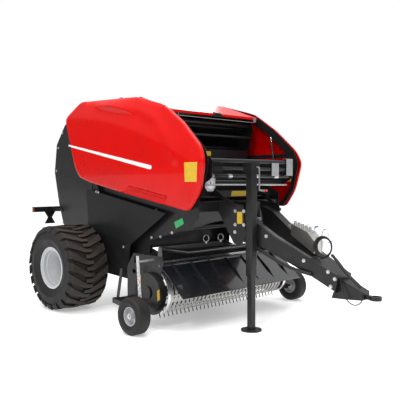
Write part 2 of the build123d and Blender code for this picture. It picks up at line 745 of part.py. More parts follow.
strut_run = strut_head - strut_foot
strut_way = strut_run.normalized()
with BuildPart() as strut_right:
    add(round_bar(strut_foot + strut_way * 12, strut_head - strut_way * 45, strut_radius))
    add(round_bar(strut_foot + strut_way * 26, strut_head - strut_way * 40, strut_rod_radius + turn_gap),
        mode=Mode.SUBTRACT)
    with Locations(Location(strut_foot)):
        Sphere(strut_ball_radius)

with BuildPart() as strut_rod_right:
    add(round_bar(strut_foot + strut_way * 30, strut_head - strut_way * 6, strut_rod_radius))
    with Locations(Location(strut_head)):
        Sphere(strut_eye_radius)
    # ball stud that reaches the cover's bracket
    add(round_bar(strut_head, strut_head + Vector(14.2, 0, 0), strut_rod_radius))

with BuildPart() as strut_left:
    add(mirror(strut_right.part, about=Plane.XZ, mode=Mode.PRIVATE))
with BuildPart() as strut_rod_left:
    add(mirror(strut_rod_right.part, about=Plane.XZ, mode=Mode.PRIVATE))

# ---------------------------------------------------------------- pickup
pickup_pin_radius = 20.0
guard_pin_radius = 12.0
reel_shaft_radius = 18.0
drive_cover_radius, drive_cover_deep = 190.0, 46.0
with BuildPart() as pickup_frame:
    with BuildSketch(side(-pickup_half)):
        with Locations((reel_x, reel_z)):
            Circle(222)
        Polygon((1000, 560), (1100, 700), (1545, 700), (1565, 650), (1500, 480), (1200, 230), (1060, 195), (1000, 215),
                align=None)
        with Locations((reel_x, reel_z)):
            Circle(reel_shaft_radius + turn_gap, mode=Mode.SUBTRACT)
        with Locations((guard_pivot_x, guard_pivot_z)):
            Circle(guard_pin_radius + turn_gap, mode=Mode.SUBTRACT)
    extrude(amount=end_plate_thick)
    mirror(about=Plane.XZ)
    with BuildSketch(side()):
        with Locations((1150, 640)):
            Rectangle(80, 80)
        with Locations((1110, 520)):
            Circle(30)
    extrude(amount=pickup_half, both=True)
    # both members are tubes with open ends
    with BuildSketch(side()):
        with Locations((1150, 640)):
            Rectangle(80 - 2 * pickup_tube_wall, 80 - 2 * pickup_tube_wall)
        with Locations((1110, 520)):
            Circle(30 - pickup_tube_wall)
    extrude(amount=pickup_half + end_plate_thick, both=True, mode=Mode.SUBTRACT)
    # housing of the reel's drive, on the right end plate
    with BuildSketch(side(-pickup_half - end_plate_thick)):
        with Locations((reel_x, reel_z)):
            Circle(drive_cover_radius)
            Circle(drive_cover_radius - 5, mode=Mode.SUBTRACT)
    extrude(amount=drive_cover_deep)
    with BuildSketch(side(-pickup_half - end_plate_thick - drive_cover_deep + 5)):
        with Locations((reel_x, reel_z)):
            Circle(drive_cover_radius)
    extrude(amount=5)
    with BuildSketch(side(-pickup_half - end_plate_thick - drive_cover_deep)):
        with Locations((reel_x, reel_z)):
            Circle(60)
    extrude(amount=14)
    # pivot arms back to the chassis
    for arm_face in (-pickup_arm_y, pickup_arm_y + pickup_arm_thick):
        with BuildSketch(side(arm_face)):
            Polygon((pickup_pivot_x - 45, 660), (pickup_pivot_x - 45, 740), (1112, 678), (1112, 602), align=None)
            with Locations((pickup_pivot_x, pickup_pivot_z)):
                Circle(45)
                Circle(pickup_pin_radius + turn_gap, mode=Mode.SUBTRACT)
        extrude(amount=pickup_arm_thick)

stripper_arc = (-62.0, 95.0)   # degrees round the reel, from straight ahead


def reel_point(radius, angle):
    """A place round the reel on the side view."""
    return (
        reel_x + radius * math.cos(math.radians(angle)),
        reel_z + radius * math.sin(math.radians(angle)),
    )


row_start = -tine_pitch * (tines_per_row - 1) / 2
with BuildPart() as strippers:
    low, high = stripper_arc
    middle = (low + high) / 2
    inner_radius = stripper_radius - stripper_thick
    for band in range(tines_per_row - 1):
        with BuildSketch(side(row_start + tine_pitch * (band + 0.5) + stripper_width / 2)):
            with BuildLine():
                ThreePointArc(
                    reel_point(stripper_radius, low), reel_point(stripper_radius, middle),
                    reel_point(stripper_radius, high),
                )
                Polyline(
                    reel_point(stripper_radius, high), (1180, 600), (1180, 600 - stripper_thick),
                    reel_point(inner_radius, high),
                )
                ThreePointArc(
                    reel_point(inner_radius, high), reel_point(inner_radius, middle), reel_point(inner_radius, low),
                )
                Line(reel_point(inner_radius, low), reel_point(stripper_radius, low))
            make_face()
        extrude(amount=stripper_width)

with BuildPart() as tine_reel:
    with BuildSketch(side()):
        with Locations((reel_x, reel_z)):
            Circle(38)
    extrude(amount=pickup_half - 6, both=True)
    with BuildSketch(side()):
        with Locations((reel_x, reel_z)):
            Circle(reel_shaft_radius)
    extrude(amount=pickup_half + end_plate_thick, both=True)
    for row in range(tine_rows):
        bar_place = reel_point(tine_bar_ring, 360 / tine_rows * row)
        with BuildSketch(side()):
            with Locations(bar_place):
                Circle(tine_bar_radius)
        extrude(amount=pickup_half - 14, both=True)
    for share in (-1, -1 / 3, 1 / 3, 1):
        with BuildSketch(side(share * (pickup_half - 22) + 3)):
            with Locations((reel_x, reel_z)):
                Circle(tine_bar_ring + 25)
        extrude(amount=6)
    for row in range(tine_rows):
        angle = 360 / tine_rows * row
        start = reel_point(tine_bar_ring, angle)
        with BuildSketch(side()):
            with Locations(start):
                with Locations(Location((0, 0, 0), (0, 0, angle))):
                    with Locations(((tine_tip_radius - tine_bar_ring) / 2, 0)):
                        Rectangle(tine_tip_radius - tine_bar_ring, 2 * tine_radius)
        tine = extrude(amount=tine_radius, both=True, mode=Mode.PRIVATE)
        with Locations(*[(0, row_start + tine_pitch * n, 0) for n in range(tines_per_row)]):
            add(tine)

with BuildPart() as crop_bar:
    with BuildLine():
        bar_route = FilletPolyline(
            (axle_x + 1500, -pickup_half + 6, 780), (axle_x + 1500, -540, 715), (axle_x + 1500, 540, 715),
            (axle_x + 1500, pickup_half - 6, 780), radius=300,
        )
    with BuildSketch(Plane(origin=bar_route @ 0, z_dir=bar_route % 0)):
        Circle(20)
    sweep()
    # posts against the inner faces of the pickup's end plates
    for post_y in (-pickup_half + 12, pickup_half):
        with BuildSketch(side(post_y)):
            Polygon((1475, 785), (1525, 785), (1538, 645), (1462, 645), align=None)
        extrude(amount=12)

guard_half = pickup_half - 5
guard_tube_radius = 22.0
with BuildPart() as wind_guard:
    with BuildSketch(side()):
        with Locations((guard_pivot_x, guard_pivot_z)):
            Circle(guard_tube_radius)
        Polygon((1513, 598), (1818, 335), (1830, 333), (1830, 337), (1820, 339), (1516, 603), align=None)
    extrude(amount=guard_half, both=True)
    for rib in range(7):
        rib_y = -guard_half + 150 + rib * (2 * guard_half - 300) / 6
        with BuildSketch(side(rib_y + 3)):
            Polygon((1508, 627), (1515, 601), (1780, 373), (1700, 470), align=None)
        extrude(amount=6)
    with BuildSketch(side()):
        with Locations((guard_pivot_x, guard_pivot_z)):
            Circle(guard_pin_radius)
    extrude(amount=pickup_half + end_plate_thick, both=True)

# ---------------------------------------------------------------- gauge wheels
gauge_profile = [
    (-52, gauge_rim_radius), (-68, 105), (-75, 130), (-68, 160), (-50, gauge_radius), (50, gauge_radius),
    (68, 160), (75, 130), (68, 105), (52, gauge_rim_radius),
]
with BuildPart() as gauge_tyre_right:
    with BuildSketch(across(gauge_x)):
        Polygon(*[(-gauge_y + w, gauge_radius + r) for w, r in gauge_profile], align=None)
    revolve(axis=cross_axis(gauge_x, gauge_radius))

with BuildPart() as gauge_rim_right:
    with BuildSketch(side(-gauge_y + 52)):
        with Locations((gauge_x, gauge_radius)):
            Circle(gauge_rim_radius)
            Circle(gauge_rim_radius - 6, mode=Mode.SUBTRACT)
    extrude(amount=104)
    with BuildSketch(side(-gauge_y + 5)):
        with Locations((gauge_x, gauge_radius)):
            Circle(gauge_rim_radius - 6)
    extrude(amount=10)
    with BuildSketch(side(-gauge_y + 45)):
        with Locations((gauge_x, gauge_radius)):
            Circle(28)
    extrude(amount=100)
    with BuildSketch(side(-gauge_y + 60)):
        with Locations((gauge_x, gauge_radius)):
            Circle(gauge_axle_radius + running_gap)
    extrude(amount=100, mode=Mode.SUBTRACT)

with BuildPart() as gauge_tyre_left:
    add(mirror(gauge_tyre_right.part, about=Plane.XZ, mode=Mode.PRIVATE))
with BuildPart() as gauge_rim_left:
    add(mirror(gauge_rim_right.part, about=Plane.XZ, mode=Mode.PRIVATE))

with BuildPart() as gauge_arms:
    with BuildSketch(side(-arm_y + 22)):
        with Locations((gauge_x, gauge_radius)):
            Circle(gauge_axle_radius)
    extrude(amount=gauge_y + 20 - arm_y + 22)
    with BuildSketch(side(-arm_y + 22)):
        Polygon((1000, 265), (1000, 215), (1460, 150), (1505, 150), (1505, 200), (1460, 200), align=None)
    extrude(amount=40)
    # pivot tube through to the pickup's end plate
    with BuildSketch(side(-pickup_half - end_plate_thick)):
        with Locations((1030, 240)):
            Circle(24)
    extrude(amount=arm_y - 22 - pickup_half - end_plate_thick)
    with BuildSketch(side(-arm_y + 22)):
        Polygon((1020, 250), (1060, 250), (1130, 560), (1090, 560), align=None)
    extrude(amount=8)
    mirror(about=Plane.XZ)

strap_holes, strap_hole_radius = 12, 6.0
with BuildPart() as height_straps:
    with BuildSketch(side(-arm_y - 18)):
        Polygon((1435, 215), (1475, 215), (1430, 715), (1390, 715), align=None)
        # two staggered rows of adjusting holes
        for step in range(strap_holes):
            row_shift = 8 if step % 2 else -8
            with Locations((1449 - 0.09 * 28 * step + row_shift, 275 + 28 * step)):
                Circle(strap_hole_radius, mode=Mode.SUBTRACT)
    extrude(amount=6)
    with BuildSketch(side(-pickup_half - end_plate_thick)):
        with Locations((1415, 660)):
            Circle(12)
    extrude(amount=arm_y + 18 - pickup_half - end_plate_thick)
    mirror(about=Plane.XZ)

# ---------------------------------------------------------------- tailgate cylinders
ram_y = wall_out + 28
ram_foot = (300.0, 930.0)
ram_head = (-200.0, 2030.0)
ram_barrel_radius, ram_rod_radius, ram_pin_radius = 22.0, 14.0, 16.0
ram_eye_half = 10.0


def ram_point(length):
    """A place along the right ram's centre line, measured from its foot pin."""
    share = length / math.dist(ram_foot, ram_head)
    x, z = (f + (h - f) * share for f, h in zip(ram_foot, ram_head))
    return Vector(axle_x + x, -ram_y, z)


ram_run = math.dist(ram_foot, ram_head)
with BuildPart() as ram_barrel_right:
    add(round_bar(ram_point(40), ram_point(ram_run - 320), ram_barrel_radius))
    with BuildSketch(side(-ram_y + ram_barrel_radius - 6)):
        with Locations(ram_foot):
            Circle(42)
    extrude(amount=2 * ram_barrel_radius - 12)
    with BuildSketch(side(-ram_y + ram_barrel_radius)):
        with Locations(ram_foot):
            Circle(ram_pin_radius + turn_gap)
    extrude(amount=2 * ram_barrel_radius, mode=Mode.SUBTRACT)
    add(round_bar(ram_point(80), ram_point(ram_run - 300), ram_rod_radius + turn_gap), mode=Mode.SUBTRACT)

with BuildPart() as ram_rod_right:
    add(round_bar(ram_point(ram_run - 900), ram_point(ram_run - 10), ram_rod_radius))
    with BuildSketch(side(-ram_y + ram_eye_half)):
        with Locations(ram_head):
            Circle(34)
    extrude(amount=2 * ram_eye_half)
    # its pin, which stops just short of the tailgate's lug
    with BuildSketch(side(-gate_lug_in - gate_lug_thick - running_gap)):
        with Locations(ram_head):
            Circle(14)
    extrude(amount=ram_y + ram_eye_half + 2 - gate_lug_in - gate_lug_thick)

with BuildPart() as ram_barrel_left:
    add(mirror(ram_barrel_right.part, about=Plane.XZ, mode=Mode.PRIVATE))
with BuildPart() as ram_rod_left:
    add(mirror(ram_rod_right.part, about=Plane.XZ, mode=Mode.PRIVATE))

# ---------------------------------------------------------------- pivot pins fixed to the chassis
with BuildPart() as pivot_pins:
    # tailgate pivots, ram feet: place, radius, length outside the wall
    for pin_place, pin_radius, pin_long in [
        ((gate_pivot_x, gate_pivot_z), gate_pin_radius, moving_gap + gate_lug_thick + 6),
        (ram_foot, ram_pin_radius, ram_y + ram_barrel_radius - wall_out),
        ((bonnet_hinge_x, bonnet_hinge_z), hinge_pin_radius, bonnet_half + 4 - wall_out),
    ]:
        with BuildSketch(side(-wall_out)):
            with Locations(pin_place):
                Circle(pin_radius)
        extrude(amount=pin_long)
    # pickup pivots, on the inner faces of the walls
    with BuildSketch(side(-pickup_arm_y + pickup_arm_thick)):
        with Locations((pickup_pivot_x, pickup_pivot_z)):
            Circle(pickup_pin_radius)
    extrude(amount=chamber_width / 2 - pickup_arm_y + pickup_arm_thick)
    # hinge pins of the side covers
    for bracket_x in hinge_bracket_x:
        with BuildSketch(across(bracket_x + 6)):
            with Locations((-cover_hinge_y, cover_hinge_z)):
                Circle(hinge_pin_radius)
        extrude(amount=34)
    mirror(about=Plane.XZ)

# ---------------------------------------------------------------- valve block on the drawbar
with BuildPart() as valve_bank:
    with BuildSketch(far.offset(-10)):
        valve_places = [(2340, 900), (2640, 746), (2660, 850), (2560, 940), (2340, 1010)]
        Polygon(*[((x - 1830) * stretch, z) for x, z in valve_places], align=None)
    extrude(amount=110)
    # hose fittings in a row along its top
    for fitting in range(5):
        with Locations((axle_x + 2365 + 43 * fitting, 82, 990 - 12 * fitting)):
            Cylinder(13, 90)

# ---------------------------------------------------------------- hoses and cable that hang free
# each: x forward of the axle, y, z of the route's points, then the radius at each corner
def route_radii(points):
    """Arc radius at each corner: 0.45 of the shorter run over the tangent of half the turn."""
    radii = []
    for before, corner, after in zip(points, points[1:], points[2:]):
        way_in, way_out = corner - before, after - corner
        turn = math.radians(way_in.get_angle(way_out))
        radii.append(0.45 * min(way_in.length, way_out.length) / math.tan(turn / 2))
    return radii


def hose(places, radius):
    """A round hose along a route of straight runs and tangent arcs."""
    points = [Vector(axle_x + x, y, z) for x, y, z in places]
    with BuildPart(mode=Mode.PRIVATE) as tube:
        with BuildLine():
            route = FilletPolyline(*points, radius=route_radii(points))
        with BuildSketch(Plane(origin=route @ 0, z_dir=route % 0)):
            Circle(radius)
        sweep()
    print(f"hose radius {radius}: length {route.length:.1f}, volume {tube.part.volume:.0f}, "
          f"section by length {math.pi * radius ** 2 * route.length:.0f}, "
          f"tightest arc {min(route_radii(points)):.0f}")
    return tube.part


feed_hose_radius = 15.0
feed_hose_places = [
    (2100, -205, 794.5), (2175, -236, 770), (2255, -252, 748), (2355, -246, 702), (2450, -232, 660),
    (2545, -214, 628), (2640, -190, 604), (2725, -168, 586),
]
with BuildPart() as feed_hose:
    add(hose(feed_hose_places, feed_hose_radius))

coil_x, coil_z, coil_radius, coil_tube = 2740.0, 819.4, 88.0, 24.0
with BuildPart() as hose_coil:
    with BuildSketch(across(coil_x)):
        with Locations((0, coil_z + coil_radius)):
            Circle(coil_tube)
    revolve(axis=cross_axis(coil_x, coil_z))

nose_hose_radius = 14.0
nose_hose_places = [
    (2833.1, 0, 754.2), (2886, -18, 722), (2940, -32, 678), (2988, -40, 632), (3040, -42, 590), (3095, -40, 548),
    (3150, -34, 504),
]
with BuildPart() as nose_hose:
    add(hose(nose_hose_places, nose_hose_radius))

cable_radius = 5.0
cable_places = [
    (2966.4, -75, 570), (2990, -92, 500), (3020, -98, 432), (3062, -98, 378), (3120, -94, 352), (3172, -86, 374),
    (3196, -76, 420), (3190, -66, 466),
]
with BuildPart() as brake_cable:
    add(hose(cable_places, cable_radius))

# ---------------------------------------------------------------- the pieces, one file each
pieces = {
    "side_walls": side_walls, "cross_members": cross_members, "axle_beam": axle_beam,
    "front_rollers": front_rollers, "gate_rollers": gate_rollers, "gate_walls": gate_walls,
    "pivot_pins": pivot_pins, "gate_skin": gate_skin, "light_bar": light_bar, "lamps": lamps,
    "tyre_right": tyre_right, "rim_right": rim_right, "hub_right": hub_right,
    "tyre_left": tyre_left, "rim_left": rim_left, "hub_left": hub_left,
    "side_guards": side_guards, "front_guard": front_guard, "drawbar": drawbar,
    "hitch_nose": hitch_nose, "hitch_eye": hitch_eye, "gearbox": gearbox, "drive_stub": drive_stub,
    "jack_tube": jack_tube, "jack_leg": jack_leg, "jack_crank": jack_crank,
    "wrap_frame": wrap_frame, "wrap_box": wrap_box, "bonnet": bonnet,
    "cover_right": cover_right, "cover_left": cover_left, "cover_frame_right": cover_frame_right,
    "cover_frame_left": cover_frame_left, "strut_right": strut_right, "strut_rod_right": strut_rod_right,
    "strut_left": strut_left, "strut_rod_left": strut_rod_left, "pickup_frame": pickup_frame, "strippers": strippers,
    "tine_reel": tine_reel, "crop_bar": crop_bar, "wind_guard": wind_guard,
    "gauge_tyre_right": gauge_tyre_right, "gauge_rim_right": gauge_rim_right,
    "gauge_tyre_left": gauge_tyre_left, "gauge_rim_left": gauge_rim_left,
    "gauge_arms": gauge_arms, "height_straps": height_straps,
    "ram_barrel_right": ram_barrel_right, "ram_rod_right": ram_rod_right,
    "ram_barrel_left": ram_barrel_left, "ram_rod_left": ram_rod_left,
    "valve_bank": valve_bank, "feed_hose": feed_hose, "hose_coil": hose_coil, "nose_hose": nose_hose,
    "brake_cable": brake_cable,
}
for label, piece in pieces.items():
    piece.part.label = label
    export_step(piece.part, f"parts/{label}.step")
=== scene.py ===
# %% [markdown]
# A round baler, dressed for a studio picture. The machine's solids come in as a fixed frame in metres.
# This script adds paint, rubber and galvanising, and the pieces that sheet metal and rubber need to
# look real. x runs forward to the hitch, y to the left, z up.

# %% The frame
import math

import bmesh
import bpy
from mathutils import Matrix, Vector
from mathutils.bvhtree import BVHTree


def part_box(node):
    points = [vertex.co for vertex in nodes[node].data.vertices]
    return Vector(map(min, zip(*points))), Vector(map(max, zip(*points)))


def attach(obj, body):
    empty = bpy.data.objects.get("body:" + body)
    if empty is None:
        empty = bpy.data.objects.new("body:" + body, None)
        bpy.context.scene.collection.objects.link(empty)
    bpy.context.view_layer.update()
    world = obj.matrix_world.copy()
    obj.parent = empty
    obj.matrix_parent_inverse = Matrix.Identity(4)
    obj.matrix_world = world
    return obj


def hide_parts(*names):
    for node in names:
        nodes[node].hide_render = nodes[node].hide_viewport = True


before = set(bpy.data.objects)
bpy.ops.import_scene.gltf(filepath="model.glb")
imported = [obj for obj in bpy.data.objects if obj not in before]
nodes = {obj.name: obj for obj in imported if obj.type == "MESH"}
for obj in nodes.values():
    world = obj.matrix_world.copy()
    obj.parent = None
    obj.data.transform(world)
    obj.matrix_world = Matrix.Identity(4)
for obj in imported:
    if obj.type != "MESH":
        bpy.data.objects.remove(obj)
scene = bpy.context.scene
collection = scene.collection
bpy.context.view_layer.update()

# %% [markdown]
# The side views of the machine are easier to read from the main axle, so one value turns a place
# measured forward of the axle into a place in the frame.

# %% Where the axle is
def middle_of(node):
    """The middle of a solid's box."""
    return [(low + high) / 2 for low, high in zip(*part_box(node))]


axle_x = middle_of("tyre_right")[0]


def at(x, y, z):
    """A place in the frame, from millimetres forward of the axle, to the left and up."""
    return Vector((axle_x + x / 1000, y / 1000, z / 1000))


print("axle at", round(axle_x, 4))

# %% [markdown]
# The camera stands in front of the machine's right side, at eye height, and looks slightly down.
# A long lens keeps the wheels round and the sides nearly parallel.

# %% Camera
camera_data = bpy.data.cameras.new("camera")
camera_data.sensor_width = 36
camera_data.lens = 54.19
camera = bpy.data.objects.new("camera", camera_data)
camera.location = at(5879, -4597, 1425.5)
looks_down, rolls, turns = (math.radians(angle) for angle in (1.863, 0.07, 45.93))
camera.rotation_euler = (math.pi / 2 - looks_down, rolls, turns)
collection.objects.link(camera)
scene.camera = camera
scene.view_settings.view_transform = "Standard"
print("camera", [round(v, 3) for v in camera.location])

# %% [markdown]
# Hoses and the brake cable hang by their own weight, so each is one smooth curve along a few points,
# with a round section. The spare length near the hitch is wound into three loose turns in a holder.

# %% Hoses and cable
def hose(name, places, radius):
    """A round hose or cable on one smooth curve."""
    curve = bpy.data.curves.new(name, "CURVE")
    curve.dimensions = "3D"
    curve.bevel_depth = 1.0
    curve.bevel_resolution = 5
    curve.use_fill_caps = True
    line = curve.splines.new("NURBS")
    line.points.add(len(places) - 1)
    for point, place in zip(line.points, places):
        point.co = (*at(*place), 1)
        point.radius = radius
    line.order_u = 3
    line.use_endpoint_u = True
    line.resolution_u = 6
    piece = bpy.data.objects.new(name, curve)
    collection.objects.link(piece)
    return piece


feed_places = [
    (2100, -205, 794.5), (2175, -236, 770), (2255, -252, 748), (2355, -246, 702), (2450, -232, 660),
    (2545, -214, 628), (2640, -190, 604), (2725, -168, 586),
]
nose_places = [
    (2833.1, 0, 754.2), (2886, -18, 722), (2940, -32, 678), (2988, -40, 632), (3040, -42, 590),
    (3095, -40, 548), (3150, -34, 504),
]
cable_places = [
    (2966.4, -75, 570), (2990, -92, 500), (3020, -98, 432), (3062, -98, 378), (3120, -94, 352),
    (3172, -86, 374), (3196, -76, 420), (3190, -66, 466),
]
coil_middle = (2740, 819.4)
coil_steps, steps_a_turn = 42, 14
first_ring, ring_loss, coil_width, coil_sway = 101, 21, 34, 7
coil_places = []
for n in range(coil_steps + 1):
    turn = -math.pi / 2 + 2 * math.pi * n / steps_a_turn
    ring = first_ring - ring_loss * n / coil_steps
    sideways = coil_width * (n / coil_steps - 0.5) + coil_sway * math.sin(turn)
    coil_places.append((coil_middle[0] + ring * math.cos(turn), sideways,
                        coil_middle[1] + ring * math.sin(turn)))
feed_hose = hose("hydraulic_feed", feed_places, 0.015)
hose_turns = hose("hose_turns", coil_places, 0.008)
nose_hose = hose("nose_bundle", nose_places, 0.014)
brake_cable = hose("brake_line", cable_places, 0.005)
cords = (
    (feed_hose, "feed_hose", feed_places, 0.6757, 0.030, "hanging"),
    (hose_turns, "hose_coil", coil_places, 1.67, 0.016, "coiled"),
    (nose_hose, "nose_hose", nose_places, 0.408, 0.028, "hanging"),
    (brake_cable, "brake_cable", cable_places, 0.4317, 0.010, "hanging"),
)
for piece, node, places, *_ in cords:
    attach(piece, "chassis")
    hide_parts(node)
    print(piece.name, len(places), "points")

# %% [markdown]
# Paint, rubber and zinc are all made from patterns that are worked out, not from pictures. Writing
# the sums of a pattern as plain arithmetic is easier to read than wiring nodes by hand, so one small
# class stands for a value on its way through the material, and adds the nodes as it is used.

# %% Arithmetic on values
class Flow:
    """A value that runs through a material; arithmetic on it adds Math nodes."""

    def __init__(self, finish, socket):
        self.finish, self.socket = finish, socket

    def math(self, operation, *others):
        return self.finish.add("ShaderNodeMath", {"operation": operation}, [self, *others])

    def __add__(self, other):
        return self.math("ADD", other)

    def __sub__(self, other):
        return self.math("SUBTRACT", other)

    def __mul__(self, other):
        return self.math("MULTIPLY", other)

    def __truediv__(self, other):
        return self.math("DIVIDE", other)

    def __rsub__(self, other):
        return self.finish.add("ShaderNodeMath", {"operation": "SUBTRACT"}, [other, self])

    def __abs__(self):
        return self.math("ABSOLUTE")

    def __pow__(self, other):
        return self.math("POWER", other)

    def ramp(self, low, high, start=0.0, end=1.0):
        """Carries low..high onto start..end, held at both ends."""
        return self.finish.add("ShaderNodeMapRange", {}, [self, low, high, start, end])


class Finish:
    """A material in the making."""

    def __init__(self, name):
        self.material = bpy.data.materials.new(name)
        self.material.use_nodes = True
        self.tree = self.material.node_tree
        self.shader = self.tree.nodes["Principled BSDF"]
        self.place = self.add("ShaderNodeTexCoord", {}, [], "Object")

    def add(self, kind, settings, values, output=0):
        """Adds any node: its settings first, then the value or flow of each input."""
        node = self.tree.nodes.new(kind)
        for key, value in settings.items():
            setattr(node, key, value)
        pairs = values.items() if isinstance(values, dict) else enumerate(values)
        for key, value in pairs:
            if isinstance(value, Flow):
                self.tree.links.new(value.socket, node.inputs[key])
            else:
                node.inputs[key].default_value = value
        return Flow(self, node.outputs[output])

    def noise(self, scale, detail, rough=0.5, place=None):
        return self.add("ShaderNodeTexNoise", {}, {
            "Vector": place or self.place, "Scale": scale, "Detail": detail, "Roughness": rough})

    def blend(self, share, first, second):
        """One colour turning into another."""
        first, second = [c if isinstance(c, Flow) else (*c, 1.0) for c in (first, second)]
        return self.add("ShaderNodeMix", {"data_type": "RGBA"}, {0: share, 6: first, 7: second}, 2)

    def axes(self):
        """The three coordinates of the surface."""
        return [self.add("ShaderNodeSeparateXYZ", {}, [self.place], n) for n in range(3)]

    def from_axle(self, x, z):
        """Distance from a wheel's axle, which lies across the machine."""
        along, _, up = self.axes()
        return ((along - x) ** 2.0 + (up - z) ** 2.0) ** 0.5

    def bump(self, height, strength, distance):
        values = {"Strength": strength, "Distance": distance, "Height": height}
        return self.add("ShaderNodeBump", {}, values)

    def set(self, **values):
        """Sets the shader's own sockets; a name's underscores stand for spaces."""
        for key, value in values.items():
            socket = self.shader.inputs[key.replace("_", " ")]
            if isinstance(value, Flow):
                self.tree.links.new(value.socket, socket)
            else:
                socket.default_value = (*value, 1.0) if isinstance(value, tuple) else value
        return self.material


print("arithmetic ready")

# %% [markdown]
# Gloss enamel over steel sheet: an even colour with a faint cloudiness, a clear top layer that
# reflects the studio, and the fine orange peel of sprayed paint. A little dust gathers low down.

# %% Enamel
def enamel(name, colour, deep, gloss, dust, peel=0.15, coat=0.6, mirror=0.5):
    """Sprayed paint. deep is the colour of its thinner places; gloss is the top layer's roughness."""
    paint = Finish(name)
    cloud = paint.noise(2.5, 4.0)
    dirt = paint.noise(9.0, 8.0, 0.62).ramp(0.52, 0.8)
    low = paint.axes()[2].ramp(0.2, 1.1, 1.0, 0.15)
    film = dirt * low * dust
    body = paint.blend(cloud.ramp(0.35, 0.7), colour, deep)
    body = paint.blend(film, body, (0.26, 0.23, 0.19))
    skin = paint.noise(260.0, 2.0)
    return paint.set(
        Base_Color=body,
        Roughness=cloud.ramp(0.2, 0.8, gloss + 0.10, gloss + 0.22) + film * 0.5,
        Coat_Weight=(1.0 - film).ramp(0.0, 1.0, 0.2, 1.0) * coat,
        Coat_Roughness=gloss * 0.4,
        Specular_IOR_Level=mirror,
        Normal=paint.bump(skin, peel, 0.0006),
    )


red_enamel = enamel("red_enamel", (0.58, 0.0015, 0.0002), (0.50, 0.0012, 0.0002),
                    gloss=0.10, dust=0.06, peel=0.05, coat=0.22, mirror=0.12)
black_enamel = enamel("black_enamel", (0.0075, 0.0072, 0.0080), (0.0048, 0.0048, 0.0055),
                      gloss=0.28, dust=0.10, coat=0.20, mirror=0.30)
gloss_black = enamel("gloss_black", (0.0060, 0.0068, 0.0100), (0.004, 0.004, 0.006),
                     gloss=0.10, dust=0.06, peel=0.10, coat=0.7)
silver_enamel = enamel("silver_enamel", (0.50, 0.51, 0.52), (0.40, 0.41, 0.43), gloss=0.26, dust=0.35)
grey_enamel = enamel("grey_enamel", (0.20, 0.21, 0.20), (0.15, 0.16, 0.15), gloss=0.25, dust=0.3)
print("enamels ready")

# %% [markdown]
# Stripes and blank plates are printed film: a flat, slightly soft sheen and a faint mottling. The
# same rule with other colours gives the plastic of knobs, caps and lenses.

# %% Film and plastic
def plastic(name, colour, rough, shade=0.82):
    """Moulded plastic or printed film in one colour."""
    sheet = Finish(name)
    mottle = sheet.noise(30.0, 3.0)
    darker = tuple(shade * part for part in colour)
    return sheet.set(
        Base_Color=sheet.blend(mottle.ramp(0.3, 0.75), colour, darker),
        Roughness=mottle.ramp(0.2, 0.8, rough, rough + 0.14),
        Normal=sheet.bump(sheet.noise(420.0, 2.0), 0.08, 0.0003),
    )


white_film = plastic("white_film", (0.86, 0.86, 0.85), 0.30)
yellow_film = plastic("yellow_film", (0.62, 0.40, 0.015), 0.32)
green_film = plastic("green_film", (0.03, 0.42, 0.12), 0.32)
orange_plastic = plastic("orange_plastic", (0.80, 0.16, 0.01), 0.24)
red_plastic = plastic("red_plastic", (0.55, 0.012, 0.008), 0.28)
blue_plastic = plastic("blue_plastic", (0.02, 0.10, 0.55), 0.28)
black_plastic = plastic("black_plastic", (0.016, 0.016, 0.018), 0.34, 0.6)
print("films ready")

# %% [markdown]
# Metals: zinc crystals make flat cells that each shine a little differently, rolled bars carry
# fine lines, and a cylinder rod is polished chrome.

# %% Metals
def metal(name, colour, shade, rough, cell=0.0, line=0.0):
    """Bare metal. cell is the size of its crystals in metres; line draws it out along x."""
    bare = Finish(name)
    place = bare.place
    if line:
        place = bare.add("ShaderNodeMapping", {}, {"Vector": place, "Scale": (1.0, line, line)})
    grain = bare.noise(18.0, 6.0, 0.6, place)
    if cell:
        crystal = bare.add("ShaderNodeTexVoronoi", {}, {"Vector": bare.place, "Scale": 1 / cell}, 1)
        crystal = bare.add("ShaderNodeSeparateColor", {}, [crystal], 0)
        grain = grain * 0.5 + crystal * 0.5
    return bare.set(
        Base_Color=bare.blend(grain.ramp(0.3, 0.75), colour, shade),
        Metallic=0.92,
        Roughness=grain.ramp(0.2, 0.8, rough, rough + 0.2),
        Normal=bare.bump(grain, 0.12, 0.0008),
    )


zinc = metal("zinc", (0.62, 0.63, 0.64), (0.42, 0.43, 0.45), 0.28, cell=0.012)
steel = metal("steel", (0.56, 0.55, 0.53), (0.36, 0.35, 0.34), 0.25, line=14.0)
chrome = metal("chrome", (0.82, 0.83, 0.84), (0.70, 0.71, 0.73), 0.06)

# %% [markdown]
# Rubber is nearly black, takes brown dust, and has no clear layer. A tyre is dusty where it touches
# the ground, on top of its lugs, and darker in the grooves and on its walls, so its dust follows the
# distance from its axle. The grooves round the gauge tyre's tread also get painted shade, near black.

# %% Rubber
def rubber(name, colour, dust, rough):
    """Rubber of hoses and lamp bodies with a little dust on it."""
    soft = Finish(name)
    blotch = soft.noise(7.0, 8.0, 0.62)
    fine = soft.noise(300.0, 3.0)
    return soft.set(
        Base_Color=soft.blend(blotch.ramp(0.42, 0.75) * 0.3, colour, dust),
        Roughness=blotch.ramp(0.3, 0.8, rough, rough + 0.16),
        Specular_IOR_Level=0.35,
        Normal=soft.bump(fine + blotch * 0.6, 0.25, 0.0012),
    )


hose_rubber = rubber("hose_rubber", (0.012, 0.012, 0.013), (0.040, 0.037, 0.033), 0.40)
lamp_black = rubber("lamp_black", (0.014, 0.014, 0.015), (0.03, 0.028, 0.025), 0.35)


